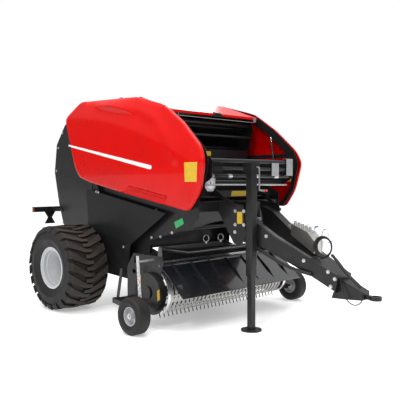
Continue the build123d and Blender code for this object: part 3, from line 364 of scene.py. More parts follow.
def tyre(name, node, tread, wall, ring, groove=0.0):
    """Tyre rubber: brown outside the radius tread, a raised ring on the wall, and grooves round it with
    painted shade in them.
    """
    hub_x, hub_y, hub_z = middle_of(node)
    soft = Finish(name)
    out = soft.from_axle(hub_x, hub_z)
    blotch = soft.noise(7.0, 8.0, 0.62)
    fine = soft.noise(150.0, 3.0)
    top = out.ramp(tread, tread + 0.012)
    shoulder = out.ramp(wall, tread, 0.0, 0.45) * blotch.ramp(0.3, 0.7)
    body = soft.blend(shoulder, (0.0085, 0.0080, 0.0078), (0.022, 0.018, 0.015))
    body = soft.blend(top * blotch.ramp(0.2, 0.75, 0.55, 1.0), body, (0.050, 0.036, 0.026))
    bead = 1.0 - abs(out - ring).ramp(0.002, 0.006)
    if groove:
        share = ((abs(soft.axes()[1]) - abs(hub_y)) / groove).math("FRACT")
        line = (1.0 - abs(share - 0.5).ramp(0.06, 0.14)) * out.ramp(tread - 0.025, tread - 0.02)
        # Painted shade: the grooves round the tread are painted near black, darker than the rubber; line
        # also cuts them into the bump.
        body = soft.blend(line, body, (0.002, 0.002, 0.002))
        bead = bead - line * 1.5
    return soft.set(
        Base_Color=body,
        Roughness=blotch.ramp(0.3, 0.8, 0.55, 0.75),
        Specular_IOR_Level=0.35,
        Normal=soft.bump(fine * 0.5 + blotch * 0.6 + bead * 4.0, 0.3, 0.0012),
    )


tyre_rubber = tyre("tyre_rubber", "tyre_right", 0.452, 0.30, 0.252)
gauge_rubber = tyre("gauge_rubber", "gauge_tyre_right", 0.190, 0.13, 0.110, 0.027)
print("rubbers ready")

# %% [markdown]
# The machine's own solids take their finish by name. Their shapes stay as they are.

# %% Paint on the frame's solids
finishes = {
    black_enamel: (
        "side_walls cross_members axle_beam side_guards front_guard drawbar hitch_nose jack_tube jack_leg "
        "wrap_frame wrap_box gate_walls gate_skin light_bar cover_frame_right cover_frame_left pickup_frame "
        "gauge_arms gearbox hitch_eye ram_barrel_right ram_barrel_left strut_right strut_left pivot_pins "
        "front_rollers gate_rollers tine_reel"
    ),
    gloss_black: "wind_guard crop_bar",
    red_enamel: "bonnet cover_right cover_left",
    silver_enamel: "rim_right rim_left hub_right hub_left gauge_rim_right gauge_rim_left",
    zinc: "height_straps",
    steel: "strippers drive_stub valve_bank",
    chrome: "ram_rod_right ram_rod_left strut_rod_right strut_rod_left",
    grey_enamel: "jack_crank",
    tyre_rubber: "tyre_right tyre_left",
    gauge_rubber: "gauge_tyre_right gauge_tyre_left",
    hose_rubber: "hose_coil feed_hose nose_hose brake_cable",
    lamp_black: "lamps",
}
for finish, names in finishes.items():
    for name in names.split():
        mesh = nodes[name].data
        mesh.materials.clear()
        mesh.materials.append(finish)
for piece, *_ in cords:
    piece.data.materials.append(hose_rubber)
print("painted", sum(len(names.split()) for names in finishes.values()), "of", len(nodes))

# %% [markdown]
# Most of the small pieces are flat plates, round bars and short pins. One bench per body and finish
# collects them in a single mesh, because one mesh of many small forms is quicker to show and to move
# than hundreds of objects. Places are given in millimetres from the axle, as on the frame.

# %% A bench for plates, bars and pins
sides = (("right", -1), ("left", 1))


def mesh_of(name, shapes):
    """Turns finished shapes into a mesh and ends them."""
    mesh = bpy.data.meshes.new(name)
    shapes.to_mesh(mesh)
    shapes.free()
    return mesh


def finished(name, mesh, body, finish, angle=35):
    """Puts a mesh in the scene as a piece of a body, smooth except at its sharp edges."""
    mesh.materials.clear()
    mesh.materials.append(finish)
    mesh.polygons.foreach_set("use_smooth", [True] * len(mesh.polygons))
    mesh.set_sharp_from_angle(angle=math.radians(angle))
    piece = bpy.data.objects.new(name, mesh)
    collection.objects.link(piece)
    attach(piece, body)
    return piece


def full_turn(parts):
    """Evenly spaced angles round a circle."""
    return [2 * math.pi * k / parts for k in range(parts)]


class Bench:
    """Plates, bars and pins of one finish that move with one body."""

    def __init__(self):
        self.shapes = bmesh.new()

    def plate(self, corners, thick):
        """A flat plate: its corners on one face, and the vector through its thickness."""
        near_face = [self.shapes.verts.new(at(*corner)) for corner in corners]
        far_face = [self.shapes.verts.new(at(*(Vector(corner) + Vector(thick)))) for corner in corners]
        self.shapes.faces.new(near_face)
        self.shapes.faces.new(reversed(far_face))
        for n, corner in enumerate(near_face):
            after = (n + 1) % len(near_face)
            self.shapes.faces.new((near_face[after], corner, far_face[n], far_face[after]))

    def side_plate(self, outline, y, thick):
        """A plate on the side view: x and z of its corners."""
        self.plate([(x, y, z) for x, z in outline], (0, thick, 0))

    def cross_plate(self, outline, x, thick):
        """A plate across the machine: y and z of its corners."""
        self.plate([(x, y, z) for y, z in outline], (thick, 0, 0))

    def bar(self, places, radius, facets=14):
        """A round bar from place to place, bent at each."""
        points = [at(*place) for place in places]
        ways = [(b - a).normalized() for a, b in zip(points, points[1:])]
        up = Vector((0.31, 0.23, 0.92))
        rings = []
        for n, point in enumerate(points):
            before, after = ways[max(n - 1, 0)], ways[min(n, len(ways) - 1)]
            along = (before + after).normalized()
            first = along.cross(up).normalized()
            second = along.cross(first)
            round_way = (first * math.cos(turn) + second * math.sin(turn) for turn in full_turn(facets))
            rings.append([self.shapes.verts.new(point + way * radius / 1000) for way in round_way])
        for low, high in zip(rings, rings[1:]):
            for k in range(facets):
                self.shapes.faces.new((low[k], low[k - 1], high[k - 1], high[k]))
        self.shapes.faces.new(rings[0])
        self.shapes.faces.new(reversed(rings[-1]))

    def piece(self, name, body, finish, slot):
        """Ends the bench: all of it becomes one piece."""
        bmesh.ops.recalc_face_normals(self.shapes, faces=self.shapes.faces)
        made = finished(name, mesh_of(name, self.shapes), body, finish)
        print(name, len(made.data.polygons), "faces")


# %% [markdown]
# The side cover is one pressed sheet with soft edges. Its skin follows a rule: a bowed lower face, a
# shoulder that leans in above a long arc, a round that wraps it to the front, a lens-shaped step under
# the top edge with a ridge that runs on from it, and a grip near the bottom. A fine grid, trimmed to
# the outline and pushed out by that rule, gives the soft shading that a few flat faces can't.

# %% Shape of the cover's skin
cover_outline = [
    (-94, 2331), (-229, 2244), (-370, 2148), (-163, 1577), (-67, 1456), (143, 1404), (764, 1291),
    (1740, 1131), (1888, 1321), (1954, 1609), (1897, 1741), (1637, 1977), (1338, 2179), (887, 2300),
]
grip_outline = [(715, 1291), (854, 1377), (1465, 1274), (1385, 1182)]


def rounded(outline, radius, steps=5, widest=600, cut_off=9):
    """A convex outline with an arc at each corner, wider where the corner is gentle."""
    places = []
    for n, corner in enumerate(outline):
        corner = Vector(corner)
        back = Vector(outline[n - 1]) - corner
        ahead = Vector(outline[(n + 1) % len(outline)]) - corner
        shortest = min(back.length, ahead.length)
        back.normalize()
        ahead.normalize()
        half = back.angle(ahead) / 2
        gentle = min(widest, 0.47 * shortest * math.tan(half), cut_off / (1 / math.sin(half) - 1))
        turn_radius = max(radius, gentle)
        centre = corner + (back + ahead).normalized() * turn_radius / math.sin(half)
        start = (corner + back * turn_radius / math.tan(half) - centre).normalized()
        end = (corner + ahead * turn_radius / math.tan(half) - centre).normalized()
        for step in range(steps + 1):
            places.append(tuple(centre + start.slerp(end, step / steps) * turn_radius))
    return places


def soft_least(values, blend):
    """The least of some values, rounded where two are nearly the same."""
    least = min(values)
    return least - blend * math.log(sum(math.exp((least - value) / blend) for value in values))


def edge_distances(outline, x, z):
    """How far inside each edge of an outline a place lies."""
    middle_x = sum(p[0] for p in outline) / len(outline)
    middle_z = sum(p[1] for p in outline) / len(outline)
    distances = []
    for (x0, z0), (x1, z1) in zip(outline, outline[1:] + outline[:1]):
        length = math.hypot(x1 - x0, z1 - z0)
        if length < 1e-6:
            continue
        across_edge = ((x1 - x0) * (z - z0) - (z1 - z0) * (x - x0)) / length
        inward = (x1 - x0) * (middle_z - z0) - (z1 - z0) * (middle_x - x0)
        distances.append(across_edge if inward > 0 else -across_edge)
    return distances


lens_rear, lens_long, lens_high, lens_slope = 190, 750, 70, 0.36


def lens_step(x, z):
    """The lens-shaped step under the cover's top edge."""
    share = (x - lens_rear) / lens_long
    if not 0 < share < 1:
        return 0.0
    upper = 2238 - 140 * share + 216 * share * (1 - share)
    lower = upper - lens_high * math.sin(math.pi * share)
    top = min(2331 - 0.0316 * (x + 94), 2300 - 0.2683 * (x - 887))
    if z < upper:
        return lens_slope * max(0.0, z - lower)
    return lens_slope * (upper - lower) * max(0.0, 1 - (z - upper) / (top - upper))


ridge_line = [(260, 2252), (640, 2222), (1010, 2150), (1250, 2040), (1430, 1850), (1590, 1640)]
ridge_high, ridge_wide = 11, 62


def ridge(x, z):
    """A soft ridge that runs on from the lens and dies out towards the front."""
    nearest, share = 1e9, 0.0
    for n, ((x0, z0), (x1, z1)) in enumerate(zip(ridge_line, ridge_line[1:])):
        run = ((x - x0) * (x1 - x0) + (z - z0) * (z1 - z0)) / ((x1 - x0) ** 2 + (z1 - z0) ** 2)
        run = min(1.0, max(0.0, run))
        far = math.hypot(x - x0 - run * (x1 - x0), z - z0 - run * (z1 - z0))
        if far < nearest:
            nearest, share = far, (n + run) / (len(ridge_line) - 1)
    swell = ridge_high * math.sin(math.pi * min(1.0, share * 0.8 + 0.1))
    return swell * math.exp(-((nearest / ridge_wide) ** 2))


soft_outline = rounded(cover_outline, 90)
skin_out, skin_blend = 778, 2.2
bow_radius, bow_height = 4875, 1640
arc_x, arc_z, arc_radius, lean = -585, -3138, 5293, 0.2309
front_x, front_z, wrap_radius = 1954, 1609, 600
grip_deep, rim_deep = 38.0, 22


def cover_out(x, z):
    """How far out from the machine's middle the cover's skin stands, in millimetres."""
    bow = bow_radius - math.sqrt(bow_radius ** 2 - max(0.0, bow_height - z) ** 2)
    shoulder = (math.hypot(x - arc_x, z - arc_z) - arc_radius) * lean
    run = min(400.0, max(0.0, (x - front_x) * 0.9127 - (z - front_z) * 0.4086 + 165))
    wrap = wrap_radius - math.sqrt(wrap_radius ** 2 - run ** 2)
    out = soft_least([skin_out - bow, skin_out - shoulder, skin_out - wrap], skin_blend)
    out += lens_step(x, z) + ridge(x, z)
    inside = edge_distances(grip_outline, x, z)
    if min(inside) > 0:
        rear, top, front, bottom = inside
        out -= min(grip_deep, rear * 0.9, top * 1.9, front * 0.9, bottom * 0.6)
    rim_wide = 60 if z > bow_height and 0 < x < 1300 else 24
    near = 1 - min(1.0, max(0.0, min(edge_distances(soft_outline, x, z))) / rim_wide)
    return out - min(rim_deep, rim_wide * 0.45) * (1 - math.sqrt(max(0.0, 1 - near ** 2)))


def grid_skin(outline, step, hand, lift=0.0):
    """A fine sheet over a convex outline on the side view, pushed out to the cover's skin."""
    low_x, high_x = min(p[0] for p in outline), max(p[0] for p in outline)
    low_z, high_z = min(p[1] for p in outline), max(p[1] for p in outline)
    long, high = high_x - low_x, high_z - low_z
    skin = bmesh.new()
    bmesh.ops.create_grid(skin, x_segments=int(long / step[0]) + 1, y_segments=int(high / step[1]) + 1,
                          size=0.5)
    for vert in skin.verts:
        vert.co = (low_x + (vert.co.x + 0.5) * long, 0, low_z + (vert.co.y + 0.5) * high)
    middle = Vector(((low_x + high_x) / 2, 0, (low_z + high_z) / 2))
    for (x0, z0), (x1, z1) in zip(outline, outline[1:] + outline[:1]):
        if math.hypot(x1 - x0, z1 - z0) < 1e-3:
            continue
        outward = Vector((z1 - z0, 0, x0 - x1)).normalized()
        if outward.dot(middle - Vector((x0, 0, z0))) > 0:
            outward.negate()
        bmesh.ops.bisect_plane(skin, geom=skin.verts[:] + skin.edges[:] + skin.faces[:], dist=1e-4,
                               plane_co=(x0, 0, z0), plane_no=outward, clear_outer=True)
    for vert in skin.verts:
        vert.co = at(vert.co.x, hand * (cover_out(vert.co.x, vert.co.z) + lift), vert.co.z)
    bmesh.ops.recalc_face_normals(skin, faces=skin.faces)
    facing = sum(face.normal.y * face.calc_area() for face in skin.faces)
    if facing * hand < 0:
        bmesh.ops.reverse_faces(skin, faces=skin.faces)
    return skin


def thicken(sheet, thickness):
    """Gives a sheet its thickness, on its inner side."""
    wall = sheet.modifiers.new("wall", "SOLIDIFY")
    wall.thickness = thickness
    wall.offset = -1


print("outline with", len(soft_outline), "corners")

# %% [markdown]
# The sheet's edge turns back to the frame behind it, and along the front only a little.

# %% Both side covers
rim_back, rim_return, front_start, front_blend, sheet = 0.672, 0.022, 1450, 200, 0.004
for side_name, hand in sides:
    name = f"cover_skin_{side_name}"
    skin = grid_skin(soft_outline, (13, 8), hand)
    rim = bmesh.ops.extrude_edge_only(skin, edges=[e for e in skin.edges if e.is_boundary])
    for vert in (v for v in rim["geom"] if isinstance(v, bmesh.types.BMVert)):
        front = min(1.0, max(0.0, ((vert.co.x - axle_x) * 1000 - front_start) / front_blend))
        vert.co.y = hand * (rim_back + front * max(0.0, abs(vert.co.y) - rim_return - rim_back))
    cover = finished(name, mesh_of(name, skin), f"side_cover_{side_name}", red_enamel, 50)
    thicken(cover, sheet)
    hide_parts(f"cover_{side_name}")
    print(name, len(cover.data.polygons), "faces")

# %% [markdown]
# The stripe and the blank plate are thin films on the cover's skin, cut from the same rule, a little
# further out.

# %% Stripe and blank plate on the cover
film_lift, film_thick = 0.7, 0.0006


def film(name, outline, finish):
    """A thin film on the right cover's skin."""
    skin = grid_skin(outline, (14, 7), -1, film_lift)
    piece = finished(name, mesh_of(name, skin), "side_cover_right", finish, 60)
    thicken(piece, film_thick)


film("cover_stripe", [
    (-302, 1849), (-302, 1829), (1215, 1536), (1232, 1538), (1240, 1552), (1238, 1568), (1222, 1577),
], white_film)
film("cover_plate_right", [(1718, 1594), (1722, 1412), (1866, 1412), (1886, 1594)], yellow_film)
print("films on the cover")

# %% [markdown]
# Bolts, nuts and studs repeat all over the machine, always the same hexagon on a round washer. A node
# tree puts one on every point of a small cloud, and a direction stored on each point turns it to
# face out of its sheet. The sizes are inputs, so one tree serves every size.

# %% A tree for things that stand on points
def tree_inputs(name, sizes):
    """A geometry tree with named sizes and a material."""
    tree = bpy.data.node_groups.new(name, "GeometryNodeTree")
    tree.interface.new_socket("Geometry", in_out="INPUT", socket_type="NodeSocketGeometry")
    for label, value in sizes.items():
        kind = "NodeSocketInt" if isinstance(value, int) else "NodeSocketFloat"
        tree.interface.new_socket(label, in_out="INPUT", socket_type=kind).default_value = value
    tree.interface.new_socket("Finish", in_out="INPUT", socket_type="NodeSocketMaterial")
    tree.interface.new_socket("Geometry", in_out="OUTPUT", socket_type="NodeSocketGeometry")
    return tree, tree.nodes.new("NodeGroupInput").outputs, tree.nodes.new("NodeGroupOutput").inputs[0]


def step(tree, kind, links, settings=None):
    """Adds a node to a tree: its settings, then the value or link of each input."""
    made = tree.nodes.new(kind)
    for key, value in (settings or {}).items():
        setattr(made, key, value)
    for key, value in links.items():
        if isinstance(value, bpy.types.NodeSocket):
            tree.links.new(value, made.inputs[key])
        else:
            made.inputs[key].default_value = value
    return made.outputs


def spread(tree, points, form, facing, finish, output):
    """Ends a tree: sets its form on each point, makes all of them real and paints them."""
    placed = step(tree, "GeometryNodeInstanceOnPoints",
                  {"Points": points, "Instance": form, "Rotation": facing})
    real = step(tree, "GeometryNodeRealizeInstances", {"Geometry": placed[0]})
    painted = step(tree, "GeometryNodeSetMaterial", {"Geometry": real[0], "Material": finish})
    tree.links.new(painted[0], output)


def grown(name, base, tree, sizes, body, finish):
    """Runs a tree on a base and keeps the result as one plain piece."""
    source = bpy.data.objects.new(name + "_base", base)
    collection.objects.link(source)
    growth = source.modifiers.new("growth", "NODES")
    growth.node_group = tree
    for item in tree.interface.items_tree:
        if item.in_out == "INPUT" and item.name in sizes:
            growth[item.identifier] = sizes[item.name]
        elif item.in_out == "INPUT" and item.name == "Finish":
            growth[item.identifier] = finish
    depsgraph = bpy.context.evaluated_depsgraph_get()
    mesh = bpy.data.meshes.new_from_object(source.evaluated_get(depsgraph))
    source.modifiers.remove(growth)
    bpy.data.objects.remove(source)
    mesh.name = name
    print(name, len(mesh.polygons), "faces")
    return finished(name, mesh, body, finish)


bolt_sizes = {"Head": 0.011, "Height": 0.007, "Washer": 0.015}
bolt_tree, bolt_in, bolt_out = tree_inputs("bolts on points", bolt_sizes)
head = step(bolt_tree, "GeometryNodeMeshCylinder",
            {"Vertices": 6, "Radius": bolt_in["Head"], "Depth": bolt_in["Height"]})
washer = step(bolt_tree, "GeometryNodeMeshCylinder",
              {"Vertices": 16, "Radius": bolt_in["Washer"], "Depth": 0.003})
lifted = step(bolt_tree, "ShaderNodeVectorMath",
              {0: (0, 0, 0.5), "Scale": bolt_in["Height"]}, {"operation": "SCALE"})
raised = step(bolt_tree, "GeometryNodeTransform", {"Geometry": head["Mesh"], "Translation": lifted[0]})
whole = step(bolt_tree, "GeometryNodeJoinGeometry", {})
for part in (raised[0], washer["Mesh"]):
    bolt_tree.links.new(part, whole[0].node.inputs[0])
way = step(bolt_tree, "GeometryNodeInputNamedAttribute", {"Name": "way"}, {"data_type": "FLOAT_VECTOR"})
turned = step(bolt_tree, "FunctionNodeAlignRotationToVector", {"Vector": way[0]}, {"axis": "Z"})
spread(bolt_tree, bolt_in["Geometry"], whole[0], turned[0], bolt_in["Finish"], bolt_out)


def bolts(name, body, places, head=11, washer=15, finish=zinc):
    """Hexagon bolts. Each place is x, y, z and the direction it faces."""
    cloud = bpy.data.meshes.new(name)
    cloud.from_pydata([at(*place[:3]) for place in places], [], [])
    ways = cloud.attributes.new("way", "FLOAT_VECTOR", "POINT")
    for n, place in enumerate(places):
        ways.data[n].vector = place[3]
    sizes = {"Head": head / 1000, "Height": 0.62 * head / 1000, "Washer": washer / 1000}
    grown(name, cloud, bolt_tree, sizes, body, finish)


def both_sides(places):
    """The same places on the right and on the left side; y is given as a distance from the middle."""
    return [(x, hand * y, z, (0, hand, 0)) for _, hand in sides for x, y, z in places]


print("tree with", len(bolt_tree.nodes), "nodes")

# %% [markdown]
# Small bolts hold the walls and guards, and eight nuts hold each wheel. The seam of the tailgate's
# wall is a narrow raised strip.

# %% Bolts of the walls and wheels
guard_face, wall_face, nut_face, nut_circle, axle_height = 700, 606, 1006, 76, 466
bolts("wall_bolts", "chassis", both_sides([
    (665, guard_face, 713), (-140, guard_face, 470), (163, guard_face, 1300), (203, guard_face, 1293),
    (1106, wall_face, 1122), (1028, wall_face, 831), (1171, wall_face, 849), (1350, wall_face, 900),
]))
bolts("gate_bolts", "tailgate", both_sides([
    (-700, wall_face, 2015), (-800, wall_face, 1834), (-850, wall_face, 1547), (-700, wall_face, 900),
]))
seam = Bench()
for _, hand in sides:
    seam.side_plate([(-862, 1528), (-272, 1407), (-272, 1401), (-862, 1522)], hand * wall_face, hand * 2.5)
seam.piece("gate_seam", "tailgate", gloss_black, "black_paint")
for side_name, hand in sides:
    bolts(f"wheel_nuts_{side_name}", f"wheel_{side_name}", [
        (nut_circle * math.cos(turn), hand * nut_face, axle_height + nut_circle * math.sin(turn),
         (0, hand, 0)) for turn in full_turn(8)
    ], 11, 13)
for side_name, hand in sides:
    bolts(f"gauge_nut_{side_name}", f"gauge_wheel_{side_name}", [(1481.6, hand * 1246, 175, (0, hand, 0))],
          17, 24)

# %% [markdown]
# The drawbar's beams carry pressed tread studs on their top, so that a boot doesn't slip. The beam
# slopes, so each stud is dropped on the steel from above and turned to the surface it lands on.

# %% Tread studs, plates and bolts of the drawbar
beams = nodes["drawbar"].data
surface = BVHTree.FromPolygons([v.co for v in beams.vertices], [p.vertices for p in beams.polygons])
first_stud, stud_pitch, stud_edge, beam_taper, row_gap, row_shift = 2210, 12, 206, 0.169, 15, 7
studs = []
for _, hand in sides:
    for n in range(40):
        for row in range(3):
            x = first_stud + stud_pitch * n
            y = hand * (stud_edge - beam_taper * (x - first_stud) - row_gap * row - row_shift * (n % 2))
            spot, facing, _, _ = surface.ray_cast(at(x, y, 3000), (0, 0, -1))
            if spot is not None and facing.z > 0.7:
                studs.append((1000 * (spot.x - axle_x), 1000 * spot.y, 1000 * spot.z, tuple(facing)))
bolts("tread_studs", "chassis", studs, 4.2, 4.2, steel)
near_bolts = [
    (1926, 296.5, 1128), (2022, 280, 1130), (1926, 296.5, 996), (2022, 280, 998), (1923, 297, 924),
    (2258, 227.5, 900), (2640, 161.5, 700), (2872, 121.5, 620), (2935, 111, 562), (2898, 117.5, 492),
]
bolts("drawbar_bolts", "chassis", [
    (x, hand * y, z, (0.168, hand * 0.986, 0)) for _, hand in sides for x, y, z in near_bolts
], 12, 17)
block = Bench()
block.plate([(700, -696, 402), (790, -696, 388), (790, -696, 436), (700, -696, 452)], (0, -46, 0))
block.piece("guard_block", "chassis", black_enamel, "black_paint")
link = Bench()
link.bar([(786, -722, 414), (900, -722, 382)], 9, 14)
link.bar([(820, -722, 405), (862, -722, 393)], 15, 16)
link.bar([(896, -722, 383), (906, -722, 380), (918, -722, 377), (924, -722, 375)], 17, 16)
link.piece("guard_link", "chassis", steel, "bare_steel")
beam_plate = Bench()
beam_plate.plate([(1949, -292, 1121), (2008, -282, 1122), (2008, -282, 1008), (1949, -292, 1006)],
                 (0.5, -3, 0))
beam_plate.piece("beam_plate", "chassis", yellow_film, "lamp_plastic")

# %% [markdown]
# Across the front runs the wrapping gear: round rails with bright bands, a thin guide rod and a few
# folded brackets. Each is a short bar or a flat plate on a bench.

# %% Front fittings
gear = Bench()
gear.cross_plate([(-600, 1254), (-600, 1322), (600, 1322), (600, 1254)], 1641, 4)
gear.cross_plate([(-590, 1640), (-590, 1762), (590, 1762), (590, 1640)], 1290, 10)
gear.side_plate([
    (1636, 1303), (1716, 1335), (1792, 1282), (2004, 1190), (1988, 1168), (1740, 1262), (1640, 1270),
], -350, 8)
gear.side_plate([
    (1636, 1303), (1725, 1310), (1912, 1178), (1896, 1160), (1700, 1268), (1640, 1270),
], 345, 8)
gear.cross_plate([(-596, 700), (-596, 1000), (596, 1000), (596, 700)], 858, 4)
gear.cross_plate([(-594, 1500), (-594, 1560), (-470, 1560), (-470, 1500)], 1921, 4)
for rod_x, rod_z, rod_wide in ((1335, 1905, 16), (1215, 2010, 20), (1120, 1790, 24)):
    gear.bar([(rod_x, -600, rod_z), (rod_x, 600, rod_z)], rod_wide)
gear.piece("front_fittings", "chassis", black_enamel, "black_paint")

bright = Bench()
for band_low, band_high in ((-605, -555), (-357, -301), (25, 87), (344, 411)):
    bright.bar([(1880, band_low, 1467), (1880, band_high, 1467)], 21.2, 28)
bright.bar([(1848, -606, 1384), (1848, 606, 1378)], 8)
bright.cross_plate([(500, 1478), (500, 1650), (606, 1650), (606, 1478)], 1927, 4)
bright.plate([(1927, 500, 1650), (1880, 500, 1650), (1880, 606, 1650), (1927, 606, 1650)], (0, 0, 4))
bright.plate([(1927, 500, 1478), (1902, 500, 1478), (1902, 606, 1478), (1927, 606, 1478)], (0, 0, -4))
bright.cross_plate([(258, 1470), (258, 1604), (372, 1604), (372, 1470)], 1926, 4)
bright.side_plate([(1795, 1090), (1830, 1112), (1885, 1075), (1880, 1050), (1830, 1060)], -280, 6)
bright.piece("bright_brackets", "chassis", zinc, "galvanised")

# %% [markdown]
# The dial is a folded shield with a round pale face, nine marks from low left to low right, and a
# needle that points at the size of the bale.

# %% Dial
dial_y, dial_z, mark_in, mark_out, mark_half, needle_long = -508, 1400, 38, 49, 2, 40


def points_at(degrees):
    """The way that a hand of the dial points at an angle."""
    return Vector((0, math.cos(math.radians(degrees)), math.sin(math.radians(degrees))))


shield = Bench()
shield.cross_plate([(dial_y + y, dial_z + z) for y, z in (
    (-66, -40), (-66, 62), (-50, 84), (50, 84), (66, 62), (66, -40), (36, -78), (-36, -78))], 1791, 8)
shield.piece("dial_body", "chassis", silver_enamel, "silver_paint")
face = Bench()
face.bar([(1799, dial_y, dial_z), (1803, dial_y, dial_z)], 55, 36)
face.piece("dial_face", "chassis", white_film, "lamp_plastic")
marks = Bench()
middle = Vector((1803, dial_y, dial_z))
for n in range(9):
    mark, across = points_at(215 - 31.25 * n), points_at(305 - 31.25 * n) * mark_half
    inner, outer = middle + mark * mark_in, middle + mark * mark_out
    marks.plate([inner - across, outer - across, outer + across, inner + across], (1, 0, 0))
foot = middle + Vector((1, 0, 0))
marks.bar([foot, foot + points_at(120) * needle_long], 2.2, 6)
marks.bar([middle, (1807, dial_y, dial_z)], 7, 14)
marks.piece("dial_marks", "chassis", black_plastic, "lamp_plastic")

# %% [markdown]
# Blank plates stand where a machine like this carries its notices. They are left plain.

# %% Blank plates
plates = Bench()
plates.cross_plate([(-55, 1262), (-40, 1316), (212, 1316), (197, 1262)], 1645, 1)
plates.cross_plate([(-118, 1690), (-118, 1738), (-2, 1738), (-2, 1690)], 1300, 1)
plates.piece("front_plates", "chassis", yellow_film, "lamp_plastic")
for name, body, finish, y, outline in (
    ("green_plate", "chassis", green_film, -607, [(1389, 1010), (1507, 1056), (1530, 1000), (1412, 946)]),
    ("strap_tag", "pickup", yellow_film, -1095, [(1447, 460), (1459, 460), (1463, 540), (1451, 540)]),
    ("housing_plate", "pickup", yellow_film, -946.5, [(1528, 282), (1522, 380), (1556, 398), (1563, 300)]),
):
    plate = Bench()
    plate.side_plate(outline, y, -1)
    plate.piece(name, body, finish, "lamp_plastic")

# %% [markdown]
# The bonnet has a latch in the middle of its lip and a thin pull rod under it.

# %% Bonnet fittings
pull = Bench()
pull.bar([(1399, -560, 2112), (1399, -560, 2076), (1399, 598, 2076), (1399, 598, 2112)], 5, 10)
pull.cross_plate([(566, 2078), (566, 2130), (612, 2130), (612, 2078)], 1405, 3)
pull.piece("bonnet_pull", "bonnet_lid", steel, "bare_steel")
latch = Bench()
latch.plate([(1360, -34, 2147), (1420, -34, 2128), (1420, 34, 2128), (1360, 34, 2147)], (0, 0, 8))
latch.cross_plate([(-80, 2100), (-80, 2116), (-34, 2134), (34, 2134), (70, 2116), (70, 2100)], 1405, 5)
latch.piece("bonnet_latch", "bonnet_lid", black_enamel, "black_paint")

# %% [markdown]
# The jack's crank ends in a plastic grip with a red cap.

# %% Jack fittings
for name, start, end, radius, finish, slot in (
    ("crank_grip", 2252, 2304, 9.5, grey_enamel, "cast_grey"),
    ("crank_cap", 2303, 2325, 11, red_plastic, "lamp_plastic"),
):
    handle = Bench()
    handle.bar([(start, -298, 1330), (end, -298, 1330)], radius, 18)
    handle.piece(name, "jack_handle", finish, slot)

# %% [markdown]
# The pick-up carries two ring handles on its crop bar, and a bright band bends round each end.

# %% Pick-up fittings
handles = Bench()
for ring_y in (-272, -58):
    circle = [(1500 + 6 * math.cos(t), ring_y + 34 * math.cos(t), 832 + 34 * math.sin(t))
              for t in full_turn(16)]
    handles.bar(circle + circle[:1], 4.5, 8)
    handles.bar([(1500, ring_y, 780), (1500, ring_y, 802)], 9, 12)
handles.piece("ring_handles", "pickup", steel, "bare_steel")
reel = middle_of("tine_reel")
reel_x, reel_z = 1000 * (reel[0] - axle_x), 1000 * reel[2]
band_out, band_in, band_face, band_width = 227, 224, 863, 34
bands = Bench()
arc = [math.radians(-62 + 157 * n / 20) for n in range(21)]
for _, hand in sides:
    for a, b in zip(arc, arc[1:]):
        corners = [(reel_x + r * math.cos(t), hand * band_face, reel_z + r * math.sin(t))
                   for r, t in ((band_out, a), (band_out, b), (band_in, b), (band_in, a))]
        bands.plate(corners, (0, hand * band_width, 0))
bands.piece("end_bands", "pickup", chrome, "chrome_rod")

# %% [markdown]
# Behind each cover, a broad black plate along the front edge closes the gap to the frame. The left
# cover has a blank plate inside, and one bolt sits in the right cover's grip.

# %% Cover plates
edge_outline = [
    (1345, 2160), (1640, 1966), (1896, 1732), (1944, 1612), (1908, 1470), (1868, 1500), (1880, 1600),
    (1700, 1800), (1500, 1960), (1330, 2060),
]
for side_name, hand in sides:
    plate = Bench()
    plate.side_plate(edge_outline, hand * 676, hand * 4)
    plate.piece(f"cover_edge_{side_name}", f"side_cover_{side_name}", black_enamel, "black_paint")
inside_plate = Bench()
inside_plate.side_plate([(1780, 1594), (1786, 1412), (1858, 1412), (1872, 1594)], 675.5, -1)
inside_plate.piece("cover_plate_left", "side_cover_left", yellow_film, "lamp_plastic")
bolts("grip_bolt", "side_cover_right", [(1006, -738, 1272, (0, -1, 0))], 9, 12)

# %% [markdown]
# The lamps' lenses are thin coloured plates let into the ends of the light bar.

# %% Lamp lenses
lens = Bench()
stop = Bench()
lens_face = -1029.8


def lens_corners(near, far):
    """A lens's four corners, between two places across or along the machine."""
    return [(far, 1037), (far, 1087), (near, 1087), (near, 1037)]


for _, hand in sides:
    lens.cross_plate(lens_corners(hand * 770, hand * 848), lens_face, 6)
    lens.side_plate(lens_corners(-1006, -1028), hand * 848, hand * 3)
    stop.cross_plate(lens_corners(hand * 640, hand * 766), lens_face, 6)
lens.piece("lens_orange", "tailgate", orange_plastic, "lamp_plastic")
stop.piece("lens_red", "tailgate", red_plastic, "lamp_plastic")

# %% [markdown]
# A bent rod on the drawbar holds the wound hoses, three ties keep them together, and two small
# levers switch the valves.

# %% Hose holder and levers
holder = Bench()
holder.bar([
    (2700, 32, 700), (2702, 32, 930), (2722, 24, 972), (2766, 8, 984), (2800, 0, 955), (2792, 0, 918),
], 4, 8)
holder.piece("hose_holder", "chassis", steel, "bare_steel")
for name, places, finish in (
    ("lever_white", [(2520, 110, 942), (2505, 120, 1004), (2470, 130, 1012)], white_film),
    ("lever_blue", [(2556, 110, 924), (2564, 120, 985), (2592, 130, 992)], blue_plastic),
):
    lever = Bench()
    lever.bar(places, 8, 10)
    lever.piece(name, "chassis", finish, "lamp_plastic")
tie_ring, tie_high, tie_wide = 90, 19, 27
ties = Bench()
for turn in (0.6, 2.3, 3.9):
    outwards = Vector((math.cos(turn), 0, math.sin(turn)))
    spot = Vector((coil_middle[0], 0, coil_middle[1])) + outwards * tie_ring
    loop = [spot + outwards * tie_high * math.cos(t) + Vector((0, tie_wide * math.sin(t), 0))
            for t in full_turn(20)]
    ties.bar(loop + loop[:1], 2, 6)
ties.piece("hose_ties", "chassis", black_plastic, "hose_rubber")
